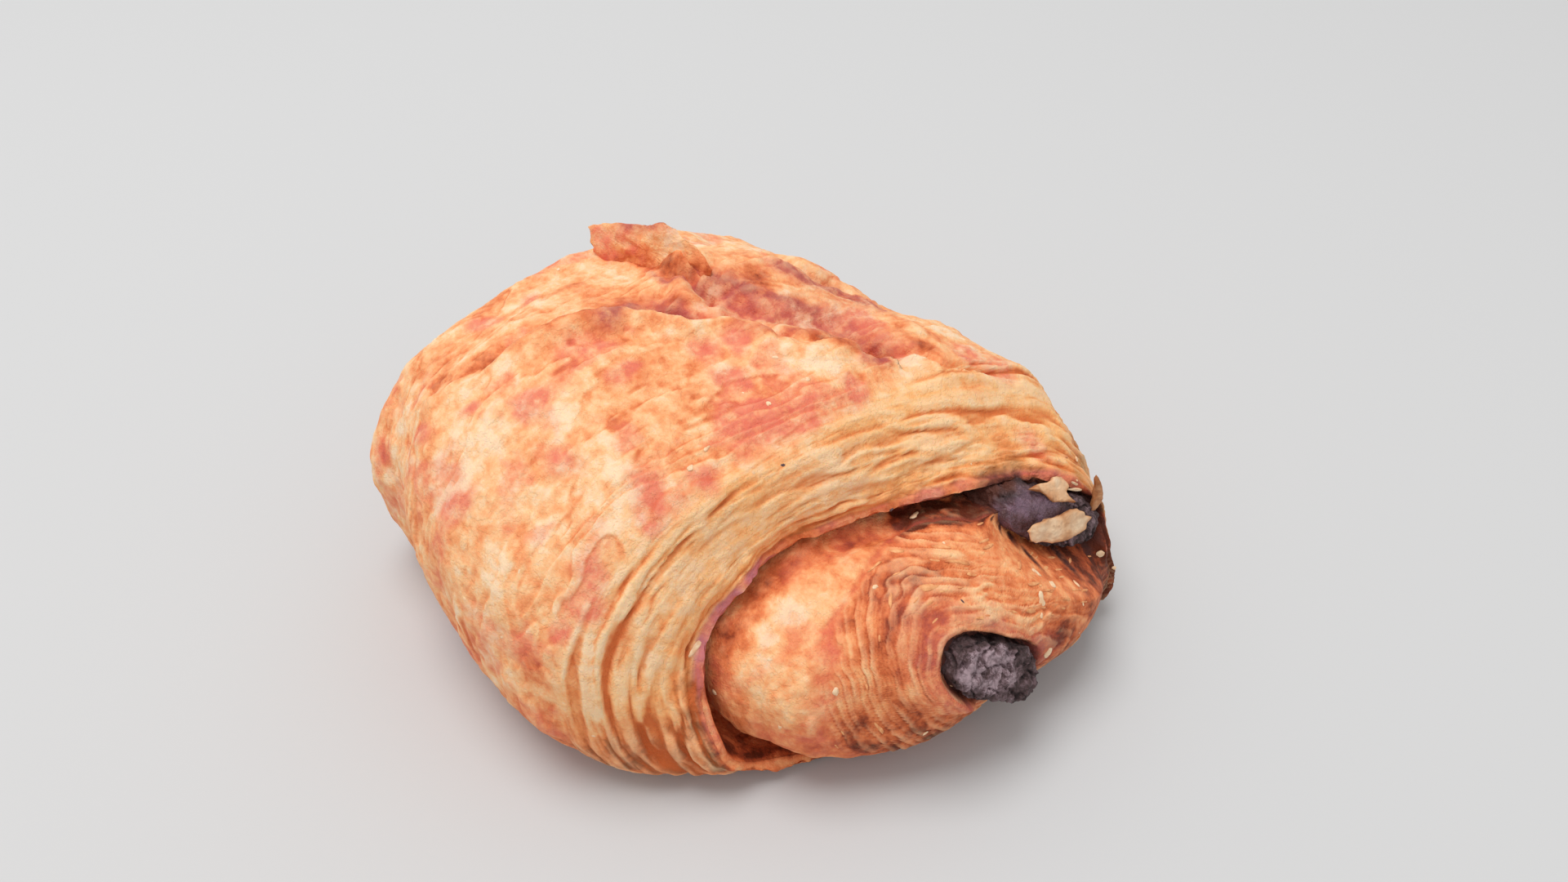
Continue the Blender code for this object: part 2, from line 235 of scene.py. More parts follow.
def lip_bow(t, angle):
    there = smooth_step(T_CUT_LAYERS, T_LIP, t) * fade(T_LIP_INSIDE + 0.5, T_LIP_INSIDE + 2, t)
    return LIP_BOW * there[:, None] * bump(angle - LIP_BOW_ANGLE, LIP_BOW_SPREAD)[None]


def bare_loft(t, angle):
    """The loft without its relief: a grid of points, one row for each t and one column for each angle."""
    x, left, right, top, bottom, yaw, lean = (column[:, None] for column in rings_at(t).T)
    across, up = np.cos(angle)[None], np.sin(angle)[None]
    widest = bottom + (top - bottom) * WIDEST
    y = (right - left) / 2 * power_of(across, UPPER_SQUARENESS)
    above = (top - widest) * power_of(np.maximum(up, 0), UPPER_SQUARENESS)
    below = (widest - bottom) * power_of(np.minimum(up, 0), LOWER_SQUARENESS)
    rise = above + below
    along = x + yaw * y + lean * rise - lip_bow(t, angle)
    return np.stack([along, (left + right) / 2 + y, widest + rise], axis=-1)


def normals_of(grid):
    """Unit normals of a grid that closes on itself along its columns, pointing out of the dough."""
    along = np.gradient(grid, axis=0)
    round_ring = np.roll(grid, -1, axis=1) - np.roll(grid, 1, axis=1)
    normals = np.cross(round_ring, along)
    lengths = np.linalg.norm(normals, axis=-1, keepdims=True)
    return normals / np.maximum(lengths, 1e-9)


def even_angles(count):
    """Angles that space the columns evenly round the crown's ring, and wider apart underneath it."""
    fine = np.linspace(-math.pi / 2, 3 * math.pi / 2, 40 * count)
    ring = bare_loft(np.array([float(T_CROWN)]), fine)[0]
    steps = np.linalg.norm(np.diff(ring, axis=0), axis=1)
    steps *= np.where(ring[1:, 2] < SKIRT_HEIGHT / 4, UNDERSIDE_COLUMNS, 1)
    passed = np.concatenate([[0], np.cumsum(steps)])
    return np.interp(np.linspace(0, passed[-1], count, endpoint=False), passed, fine)


# ---------------------------------------------------------------------- the camera and what it sees


def camera_axes():
    azimuth, elevation = math.radians(AZIMUTH), math.radians(ELEVATION)
    level = math.cos(elevation)
    back = np.array((math.sin(azimuth) * level, -math.cos(azimuth) * level, math.sin(elevation)))
    right = np.array((math.cos(azimuth), math.sin(azimuth), 0))
    return back, right, np.cross(back, right)


BACK, RIGHT, UP = camera_axes()
EYE = TARGET + BACK * DISTANCE
FOCAL = FRAME_HEIGHT / 2 / math.tan(math.radians(UPRIGHT_ANGLE / 2))  # in pixels


def pixels_of(points):
    """Where the camera sees points, in the photograph's pixels, and how far off each is."""
    away = points - EYE
    depth = -(away @ BACK)
    column = FRAME_WIDTH / 2 + FOCAL * (away @ RIGHT) / depth
    row = FRAME_HEIGHT / 2 - FOCAL * (away @ UP) / depth
    return np.stack([column, row], axis=-1), depth


class Dough:
    """The fine grid: its points and normals, how far along it each lies, and what the camera sees of it."""

    def __init__(self):
        stretches = [np.linspace(low, high, rows, endpoint=False) for low, high, rows in DOUGH_PIECES.values()]
        self.t = np.concatenate([*stretches, [T_SNOUT_POLE]])
        self.angle = even_angles(COLUMNS)
        self.bare = bare_loft(self.t, self.angle)
        self.outward = normals_of(self.bare)
        steps = np.linalg.norm(np.diff(self.bare, axis=0), axis=-1)
        self.across = np.concatenate([np.zeros((1, COLUMNS)), np.cumsum(steps, axis=0)])
        self.from_lip = self.across - self.across[self.row(T_LIP)]
        self.settle(self.bare)

    def settle(self, points):
        """Takes these points as the surface."""
        self.points, self.normals = points, normals_of(points)
        self.pixels, self.depth = pixels_of(points)
        self.seen = ((EYE - points) * self.normals).sum(axis=-1) > 0

    def row(self, t):
        return int(np.searchsorted(self.t, t - 1e-6))

    def around(self, t):
        """How far each column lies round the ring at t, in mm from the ring's top."""
        ring = self.bare[self.row(t)]
        passed = lengths_along(ring)
        return (passed - passed[np.argmin(np.abs(self.angle - math.pi / 2))])[None] + 0 * self.across

    def seen_spot(self, pixel):
        """The grid's row and column that the camera sees at a pixel of the photograph."""
        off = np.linalg.norm(self.pixels - pixel, axis=-1) + 1000 * ~self.seen
        nearest = np.argmin(np.where(off < off.min() + 2, self.depth, 1e9))
        return np.unravel_index(nearest, off.shape)

    def line(self, pixels, places):
        """The places of the grid's points that the camera sees at these pixels."""
        return np.array([places[self.seen_spot(pixel)] for pixel in pixels])

    def to_ring(self, t):
        """How far each point is from the nearest point of the ring at t."""
        ring = self.bare[self.row(t)]
        return np.array([np.linalg.norm(row[:, None] - ring[None], axis=-1).min(axis=1) for row in self.bare])


def before(points, line):
    """How far points lie before a line's start, seen from above and along its first stretch."""
    return (points[..., :2] - line[0, :2]) @ unit_of(line[0, :2] - line[1, :2])


def beside(points, line):
    """Distance from a line, seen from above and positive on its left, and how much of it is passed."""
    nearest = np.full(points.shape[:-1], 1e9)
    side, passed = nearest.copy(), nearest.copy()
    for i, (start, end) in enumerate(zip(line[:-1, :2], line[1:, :2])):
        reach = end - start
        away = points[..., :2] - start
        share, distance = from_segment(away, reach)
        left = reach[0] * away[..., 1] - reach[1] * away[..., 0] > 0
        nearer = distance < nearest
        nearest = np.where(nearer, distance, nearest)
        side = np.where(nearer, np.where(left, distance, -distance), side)
        passed = np.where(nearer, (i + share) / (len(line) - 1), passed)
    return side, passed


# --------------------------------------------------------------------------- the surface's features

# Lines over the dough and patches of its colours, as pixels of the photograph. A patch is a pixel and a radius
# in mm. Lines run from left to right, so that their left is the far side.
NEAR_SHEET_EDGE = (
    (532, 477), (555, 466), (585, 452), (640, 410), (669, 396), (693, 386), (712, 380), (740, 375),
    (770, 371), (800, 372), (826, 377), (845, 387), (880, 398), (918, 404), (953, 408), (991, 413),
    (1040, 424), (1072, 440))
FAR_LOBE_EDGE = ((784, 319), (818, 332), (838, 345), (853, 362), (868, 389))
FLAP_FOOT = ((729, 309), (753, 316), (784, 321), (798, 327), (818, 335), (840, 342), (866, 342))
CREST = ((890, 325), (937, 312), (983, 322), (1040, 352), (1100, 392))
STREAK = ((957, 324), (995, 341), (1024, 351), (1053, 363), (1082, 376))
VALLEY = ((872, 360), (890, 368), (909, 375), (947, 384), (986, 390), (1019, 396), (1048, 416), (1070, 435))
# The valley's top and foot: furrows darkened to purple with painted shade.
VALLEY_TOP_SHADE = ((866, 344), (890, 348), (928, 354), (962, 364), (995, 377))
VALLEY_FOOT_SHADE = ((905, 392), (928, 397), (970, 402), (1014, 404))
FAR_SHEET_EDGE = ((1076, 440), (1114, 436), (1154, 445), (1200, 452), (1235, 470))
POCKET = (1067, 436)

BLUSHES = (
    (723, 424, 4.5), (769, 450, 2.4), (911, 512, 4.2), (987, 504, 3.6), (892, 462, 3.0), (685, 558, 3.4),
    (647, 493, 2.6), (574, 500, 1.8), (509, 531, 2.2), (593, 393, 2.6), (649, 364, 1.6), (857, 428, 2.6),
    (861, 584, 2.4), (792, 604, 3.4), (559, 623, 3.2), (899, 412, 2.2), (708, 740, 3.4), (684, 771, 2.0),
    (1053, 480, 2.4), (1185, 431, 3.2), (1224, 455, 3.0), (1267, 544, 3.0), (1048, 394, 3.6),
    (794, 630, 3.0), (921, 500, 3.0), (729, 706, 2.4), (1010, 396, 3.2), (970, 388, 3.0), (935, 380, 2.8),
    (900, 368, 2.4))
# Patches of painted highlight, paler where the light falls on the dough.
PALE_HIGHLIGHTS = (
    (758, 340, 3.6), (670, 365, 2.4), (612, 447, 3.0), (566, 470, 3.0), (693, 508, 3.6), (601, 531, 3.2),
    (960, 440, 2.6), (1006, 440, 2.6), (1114, 446, 3.6), (1145, 519, 3.4), (1221, 470, 2.4),
    (930, 303, 2.0), (850, 380, 1.6), (605, 700, 3.2), (660, 650, 2.6), (880, 640, 3.0), (1040, 440, 2.4),
    (964, 352, 1.0), (560, 565, 4.0), (545, 610, 2.6), (852, 298, 1.6), (960, 750, 3.0), (940, 775, 2.0))
BROWNS = (
    (916, 336, 3.6), (650, 813, 2.6), (1240, 560, 3.4), (1290, 600, 3.0), (470, 560, 1.8),
    (1130, 420, 2.4), (1300, 780, 3.0), (1350, 560, 3.0), (1345, 520, 2.4))
LIP_SHADE = (
    (1098, 626, 1.4), (1120, 621, 1.8), (1140, 617, 2.0), (1160, 612, 2.2), (1182, 608, 2.4),
    (1203, 604, 2.4))
# Patches on the roll under the lip: there it draws back less, and painted shadow darkens it.
UNDER_LIP_GAP_AND_SHADE = (
    (1105, 634, 1.6), (1128, 630, 2.4), (1150, 627, 3.0), (1172, 624, 3.6), (1195, 622, 4.0),
    (1212, 622, 3.4))
# The coil's reddish-brown rim under the upper baton, darkened with painted shade.
UNDER_BATON_BROWN_AND_SHADE = ((1268, 672, 1.6), (1290, 680, 1.8), (1315, 682, 1.8), (1340, 676, 1.6))
# Chocolate smeared on the dough, and painted shade along the upper baton's underside.
SMEARS_AND_SHADE = (
    (1217, 634, 1.0), (1226, 645, 1.1), (1353, 628, 1.4), (1355, 645, 1.5), (1240, 657, 1.0),
    (1262, 677, 0.9), (1300, 680, 0.9), (1330, 670, 1.0))
LILAC_RIM = ((868, 790, 2.4), (880, 765, 2.8), (897, 735, 2.6), (922, 708, 2.4), (950, 685, 1.8))
FAR_DIP = (1075, 365)
TOP_STARTS = 24, 32  # the heights between which the folds on top begin
SWELLS = (
    (880, 298, 5.0, -1.7), (985, 324, 6.5, 1.5), (1200, 414, 9.0, -1.1), (1318, 548, 6.0, 1.2),
    (468, 615, 8.0, -1.7), (655, 342, 6.0, 0.8))  # a pixel, a radius and how far the dough swells there
FLAKY = ((1150, 700, 6.0), (1200, 725, 6.0), (1260, 720, 5.0), (1110, 730, 3.0), (1290, 700, 4.0))
COIL_START = (
    (1000, 895), (1000, 860), (1003, 828), (1015, 792), (1040, 729), (1074, 679), (1099, 649), (1129, 636),
    (1196, 634))
LAYERS_MEET = (1358, 702)

WARP, BLOTCH = 1.1, 2.2  # how far the lines and the patches stray
GAP, GAP_AT_CHOCOLATE = 1.7, 0.6  # how far the roll draws back under the lip
ROLL_SWELL = (1160, 650)
ROLL_SWELL_REACH, ROLL_SWELL_HEIGHT = 7.0, 1.3
LIP_RAISE, LIP_BACK = 0.7, 1.4
T_BRIDGE = 4.5, 8.2  # where the layers that close the groove's right end start and end
RIGHT_TUCK = 1.8
COLLAR, COLLAR_BELOW = 1.0, 1.5  # how far the dough's rim comes forward round the lower baton


def pockets(across, around, layer, length, seed):
    """Long pockets between thin ridges that meet at sharp ends: how deep each point is, and the ridges."""
    stretched = np.stack([across, 0.3 * around], axis=-1)
    u = across / layer + 0.5 * fuzz(stretched, 3.2 * layer, seed + 3, 2)
    v = around / length + 0.4 * fuzz(stretched, 5 * layer, seed + 5, 2)
    first = np.abs(fuzz(np.stack([u, v], axis=-1), 1, seed, 2))
    skewed = np.abs(fuzz(np.stack([u + 0.7 * np.minimum(first, 1), v], axis=-1), 1, seed, 2))
    own = np.clip(0.5 + 0.8 * fuzz(np.stack([0.5 * u, v], axis=-1), 1, seed + 7, 1), 0.1, 1)
    return smooth_step(0.04, 0.75, skewed) * own, fade(0.0, 0.13, skewed)


def steps(u, along, seed):
    """Thin layers, one over the next, that come and go along their length: height, ends and own number."""
    index = np.floor(u)
    share = u - index
    lively = np.clip(0.55 + 0.6 * fuzz(np.stack([3.7 * index, along], axis=-1), 1, seed, 2), 0.1, 1)
    height = lively * share * fade(0.78, 0.96, share)
    return height, lively * bump(share - 0.95, 0.12), hashed(index[..., None], seed + 1)


def stairs(field, seed, softness=0.12):
    """Thin peeling layers, from a field gathered into steps: their relief, own number and edges."""
    base = np.floor(field)
    share = field - base
    level = base + smooth_step(0.5 - softness, 0.5 + softness, share)
    return level - field, hashed(np.floor(field + 0.5)[..., None], seed), bump(share - 0.5, softness)


class Relief:
    """The dough's relief, and the masks that go with it."""

    def __init__(self, dough):
        self.dough = dough
        self.t = dough.t[:, None]
        self.height = dough.bare[..., 2]
        self.off_floor = smooth_step(0.6, 3.0, self.height)
        self.to_lip = dough.to_ring(T_LIP)
        # Painted light: hollow darkens the hollows with painted shade, and crest lightens the ridges with
        # painted highlight.
        self.hollow, self.crest = np.zeros(self.height.shape), np.zeros(self.height.shape)
        lip = dough.bare[dough.row(T_LIP)]
        self.closed = (smooth_step(31, 37, lip[:, 1]) * fade(19, 26, lip[:, 2]))[None]
        for _ in range(2):
            self.place(dough.bare)
            dough.settle(self.shaped())
        self.place(dough.points)
        self.tint()

    def place(self, points):
        """Takes these points for the noise from now on."""
        self.points = points
        shift = np.stack([fuzz(points, 9, seed) for seed in (51, 52, 53)], axis=-1)
        self.warped = points + WARP * shift
        self.blotched = points + BLOTCH * shift

    def beside(self, pixels):
        """How far points lie beside the line seen through these pixels, and how much of it is passed."""
        return beside(self.warped, self.dough.line(pixels, self.warped))

    def from_pixel(self, *pixel):
        """How far each point lies from the one that the camera sees at a pixel."""
        return np.linalg.norm(self.blotched - self.blotched[self.dough.seen_spot(pixel)], axis=-1)

    def near(self, patches):
        """1 in the middle of the patches and 0 outside them."""
        total = np.zeros(self.height.shape)
        for column, row, radius in patches:
            total = np.maximum(total, fade(0.35 * radius, 1.25 * radius, self.from_pixel(column, row)))
        return total

    def broad(self):
        """The slow swells, the skirt along the underside and the knob, as in the solids."""
        pushed = 0.7 * ripple(self.points, 30, 1) + 0.3 * ripple(self.points, 12, 2)
        pushed = pushed * smooth_step(0, 0.5, np.maximum(T_LIP - self.t, self.t - T_LIP_INSIDE))
        pushed += SKIRT_SWELL * bump(self.height - SKIRT_HEIGHT, SKIRT_REACH) * fade(T_LIP - 0.4, T_LIP, self.t)
        for column, row, radius, push in SWELLS:
            pushed += push * bump(self.from_pixel(column, row), radius) * (self.t < T_LIP)
        return pushed + KNOB_HEIGHT * bump(np.linalg.norm(self.points - KNOB, axis=-1), KNOB_RADIUS)

    def folds(self):
        """The folds and torn sheets on top of the outer wrap."""
        ragged = 0.5 * fuzz(self.points, 2.4, 61, 2)

        edge, passed = self.beside(NEAR_SHEET_EDGE)
        strong = smooth_step(0, 0.35, passed) * (1 - 0.5 * smooth_step(0.62, 0.72, passed))
        folds = (0.4 + 1.6 * strong + 0.5 * ragged) * bump(edge + 1.5, 2.0)
        folds -= (0.5 + 1.3 * strong) * bump(edge - 1.4, 1.3)

        lobe, passed = self.beside(FAR_LOBE_EDGE)
        there = smooth_step(0.15, 0.4, passed) * fade(0.85, 1, passed)
        folds += 1.5 * bump(lobe + 2.0, 2.4) * fade(-0.4, 0.6, lobe) * there
        folds -= 1.1 * bump(lobe - 0.8, 0.8) * there

        foot = self.dough.line(FLAP_FOOT, self.warped)
        flap, passed = beside(self.warped, foot)
        there = fade(-2.4, 0.4, before(self.points, foot)) * fade(0.75, 1, passed)
        rise = (2.9 - 1.0 * passed + 0.4 * ragged) * there
        folds += rise * smooth_step(0.3, 3.4, flap) * bump(np.maximum(flap - 3.0, 0), 3.0)
        self.flap = smooth_step(-1.0, 0.6, flap) * bump(np.maximum(flap - 1.4, 0), 2) * there
        self.flap_lines = bump(flap + 0.5, 0.7) * smooth_step(0.3, 0.6, passed) * fade(0.9, 1, passed)

        crest, passed = self.beside(CREST)
        folds += 0.7 * bump(np.maximum(np.abs(crest - 1.0) - 1.0, 0), 2.5) * fade(0.8, 1, passed)
        folds += 0.6 * ragged * bump(crest, 4)
        folds -= 2.2 * bump(self.from_pixel(*FAR_DIP), 8)
        folds -= 1.1 * bump(self.beside(STREAK)[0], 0.9)
        valley = self.beside(VALLEY)[0]
        folds -= (2.1 + 0.7 * ragged) * bump(valley, 3.0)
        sheet = self.beside(FAR_SHEET_EDGE)[0]
        folds += 0.7 * bump(sheet + 1.0, 1.4) - 0.9 * bump(sheet - 0.7, 0.8)
        folds -= 2.4 * bump(self.from_pixel(*POCKET), 1.8)
        return folds * smooth_step(*TOP_STARTS, self.height)

    def shaped(self):
        """The dough's points with its folds, the gap under its lip and its rims round the chocolate."""
        dough, t = self.dough, self.t
        self.on_top = smooth_step(-0.9, -0.4, t) * fade(T_CUT_LAYERS, T_CUT_LAYERS + 0.5, t)
        pushed = self.broad() + self.folds() * self.on_top
        above = smooth_step(14, 22, self.height)
        gap = fade(0.5, 4.5, self.to_lip) * smooth_step(T_LIP_INSIDE, T_LIP_INSIDE + 0.3, t)
        pushed -= (GAP + (GAP_AT_CHOCOLATE - GAP) * self.near(UNDER_LIP_GAP_AND_SHADE)) * gap * above
        swell = bump(self.from_pixel(*ROLL_SWELL), ROLL_SWELL_REACH)
        pushed += ROLL_SWELL_HEIGHT * swell * smooth_step(T_LIP_INSIDE + 0.6, T_LIP_INSIDE + 1.4, t)
        pushed += LIP_RAISE * bump(t - T_LIP - 0.1, 0.35) * above
        points = dough.bare + dough.outward * (pushed * self.off_floor)[..., None]

        edge = bump(np.maximum(np.maximum(T_LIP - t, t - T_LIP_INSIDE), 0), 0.5)
        points[..., 0] += (LIP_WAVE * ripple(points, 16, 41) + 0.4 * fuzz(points, 3.2, 42, 3)) * edge
        torn = 0.5 * fuzz(points, 2.0, 43, 3) * bump(t - T_LIP - 0.1, 0.5) * (1 - self.closed)
        points += dough.outward * torn[..., None]
        points[..., 0] -= LIP_BACK * edge * above * (1 - self.closed)
        first, last = (points[dough.row(at)] for at in T_BRIDGE)
        share = np.clip((t - T_BRIDGE[0]) / (T_BRIDGE[1] - T_BRIDGE[0]), 0, 1)
        bridge = first + (last - first) * share[..., None]
        across_groove = self.closed * (share > 0) * (share < 1)
        points += (bridge - points) * across_groove[..., None]
        points[..., 1] -= RIGHT_TUCK * self.closed * bump(t - 4.4, 1.3)

        baton = LOWER_BATON
        section = baton_section(points, baton)
        y, z = points[..., 1] - baton.near[1], points[..., 2] - baton.near[2]
        reach = np.maximum(np.hypot(y, z), 0.1)
        below_left = smooth_step(0.2, 0.9, (-0.65 * y - 0.75 * z) / reach)
        below_right = smooth_step(0.0, 0.9, (0.8 * y - 0.6 * z) / reach)
        rim = fade(1.05, 2.3, section.size) * (1 - 0.8 * below_right)
        rim = rim * smooth_step(-9, -4, section.ahead) * smooth_step(12.5, 15, points[..., 2])
        points[..., 0] += (COLLAR + COLLAR_BELOW * below_left) * rim
        points[..., 2] = np.maximum(points[..., 2], 0)
        return points

    def tint(self):
        """Finds where the folds on top are plum and browned, and where painted shade falls on them."""
        edge, passed = self.beside(NEAR_SHEET_EDGE)
        ridge = smooth_step(0.34, 0.42, passed) * fade(0.62, 0.7, passed)
        plum = 1.25 * bump(edge + 0.9, 1.8) * ridge
        # The valley is plum; the furrow lines at its top and foot add painted shade.
        plum += 0.75 * bump(self.beside(VALLEY)[0], 3.6) + 0.7 * bump(self.beside(VALLEY_TOP_SHADE)[0], 1.0)
        plum += 0.6 * bump(self.beside(VALLEY_FOOT_SHADE)[0], 1.0) + 1.1 * bump(self.beside(STREAK)[0], 1.8)
        # Painted shade: the deep pocket darkened with plum.
        plum += 0.8 * self.near((POCKET + (2.2,),)) + 0.8 * self.flap_lines
        self.plum = plum * self.on_top * smooth_step(*TOP_STARTS, self.height)
        # Painted shade on the far side of the near sheet's edge, and browning on the flap's face.
        self.shade_and_browning = 0.28 * bump(edge - 1.0, 1.3) * self.on_top + 0.4 * self.flap

    def crust(self):
        """Wrinkles, blisters and the peeling edges of the outermost layers."""
        around = self.dough.around(1.5)
        stretched = np.stack([self.dough.from_lip, 0.4 * around], axis=-1)
        wrinkles = 0.2 * fuzz(stretched, 5, 71) + 0.12 * fuzz(self.points, 1.7, 72, 2)
        blisters = 0.5 * np.maximum(fuzz(self.warped, 5.5, 73, 2) - 0.25, 0)
        peeling, self.tone, edges = stairs(1.8 * fuzz(stretched, 8, 74, 4) + 0.14 * self.dough.across, 76)
        self.edges = edges * smooth_step(-0.1, 0.5, fuzz(self.points, 9, 77, 2))
        rough = 0.3 * fuzz(self.points, 2.6, 75, 3) * np.clip(self.plum, 0, 1) * (1 - 0.6 * self.flap)
        return wrinkles + blisters + 0.28 * peeling * (1 - 0.6 * self.flap) + rough

    def band(self):
        """The layers on the wrap's cut edge: long, low steps on top, and ridges round pockets lower down."""
        dough, t = self.dough, self.t
        share = (t - T_CUT_LAYERS) / (T_LIP - T_CUT_LAYERS)
        there = smooth_step(-0.08, 0.14, share + 0.07 * fuzz(self.points, 8, 81))
        there = there * fade(0.93, 1.0, share)
        around = dough.around(3.4)
        low = fade(12, 32, self.height)
        deep, ridge = pockets(dough.from_lip, around, 2.3, 11, 82)
        less_deep, fine_ridge = pockets(dough.from_lip, around, 1.1, 8, 83)
        lines, ends, _ = steps(dough.from_lip / 0.62 + 0.8 * fuzz(self.points, 5, 84, 2), around / 6, 85)
        broad_u = -dough.from_lip / 2.4 + 0.5 * fuzz(self.points, 9, 86, 3)
        broad_lines, broad_ends, band_tone = steps(broad_u, around / 12, 87)
        hollow = 0.95 * deep + 0.35 * less_deep + 0.25 * ends + 0.4 * broad_ends
        self.hollow += there * (0.75 + 0.35 * low) * hollow
        self.crest += there * (0.5 * ridge * (1 - less_deep) + 0.2 * fine_ridge + 0.2 * broad_lines)
        self.layer_tone = there * (band_tone - 0.5)
        pushed = 0.3 - (0.65 + 0.4 * low) * deep - 0.25 * less_deep + 0.14 * lines
        return there * (pushed + 0.3 * (1 - 0.5 * low) * broad_lines)

    def coil_start(self):
        """The t at which the coiled layers start, for each column."""
        spots = np.array([self.dough.seen_spot(pixel) for pixel in COIL_START])
        order = np.argsort(self.dough.angle[spots[:, 1]])
        angles, starts = self.dough.angle[spots[order, 1]], self.dough.t[spots[order, 0]]
        return np.interp(self.dough.angle, angles, starts)[None]

    def coil(self):
        """The layers round the lower baton, which run together at the right end of the snout."""
        dough, points = self.dough, self.points
        baton = LOWER_BATON
        reach = 1.3 * (dough.points[dough.seen_spot(LAYERS_MEET)] - np.array(baton.near))
        share, distance = from_segment(points - np.array(baton.near), reach)
        size = np.maximum(baton_section(points, baton).size, 1)
        out = distance * (1 - 1 / size) / (1 - 0.72 * share)
        past_start = self.t - self.coil_start() + 0.06 * fuzz(points, 6, 186)
        closing = self.closed * smooth_step(*T_BRIDGE, self.t + 3.4)
        there = np.maximum(smooth_step(0.0, 0.16, past_start), closing)
        self.start_line = bump(past_start - 0.02, 0.07) * smooth_step(6, 9, self.height) * (1 - self.closed)
        self.coiled = there
        self.out = np.where(self.t > T_LIP_INSIDE, out, dough.from_lip)
        rough = self.near(FLAKY)
        around = dough.around(8.3)
        u = out / 1.05 + (0.5 + 0.3 * rough) * fuzz(points, 7, 187, 2)
        u = u + (0.24 + 0.14 * rough) * fuzz(points, 2.2, 188, 2)
        lines, ends, coil_tone = steps(u, around / 6, 189)
        fine, fine_ends, _ = steps(2.3 * u + 0.3 * fuzz(points, 3, 191, 2), around / 3, 190)
        torn = np.maximum(fuzz(np.stack([out, 0.35 * around], axis=-1), 1.6, 192, 3), 0)
        clear = smooth_step(1.3, 2.4, baton_section(points, UPPER_BATON).size)
        self.layer_tone = self.layer_tone + 0.9 * there * (coil_tone - 0.5) * clear
        self.hollow += there * clear * (0.45 * ends + 0.25 * fine_ends) + 0.25 * self.start_line
        self.crest += there * clear * (0.45 * lines + 0.5 * (0.3 + rough) * torn)
        pushed = clear * (0.3 * lines + 0.12 * fine + (0.15 + 0.45 * rough) * torn) - 0.1
        return there * pushed - 0.2 * self.start_line

    def far_end(self):
        """The layers that show round the batons' far ends."""
        dough = self.dough
        there = smooth_step(0.1, 0.3, -self.t + 0.08 * fuzz(self.points, 9, 92))
        around = dough.around(-0.4)
        lines, ends, _ = steps(-dough.across / 1.3 + 0.6 * fuzz(self.points, 7, 93, 2), around / 7, 94)
        deep, ridge = pockets(-dough.across, around, 2.4, 8, 95)
        self.hollow += there * (0.5 * ends + 0.6 * deep)
        self.crest += there * (0.3 * lines + 0.4 * ridge)
        return there * (0.2 + 0.3 * lines - 0.6 * deep)

    def roll(self):
        """The inner roll's skin: soft swells and small bubbles."""
        skin = smooth_step(T_LIP_INSIDE, T_GROOVE, self.t) * (1 - self.coiled)
        bubbles = np.maximum(fuzz(self.points, 2.2, 96, 2) - 0.3, 0)
        return skin * (0.3 * fuzz(self.points, 5, 97, 4) + 0.3 * bubbles)

    def fine(self):
        """Adds the small relief. It returns how far each point was pushed out."""
        t = self.t
        on_wrap = smooth_step(-0.5, -0.1, t) * fade(T_CUT_LAYERS - 0.15, T_CUT_LAYERS + 0.2, t)
        pushed = self.crust() * on_wrap + self.band() + self.coil() + self.far_end() + self.roll()
        off_lip = smooth_step(0.0, 0.2, np.maximum(T_LIP - t, t - T_LIP_INSIDE))
        pushed *= np.maximum(off_lip, self.closed) * self.off_floor
        points = self.points + self.dough.normals * pushed[..., None]
        points[..., 2] = np.maximum(points[..., 2], 0)
        self.dough.settle(seat_batons(points))
        return pushed


# ----------------------------------------------------------------------------- colours of the dough


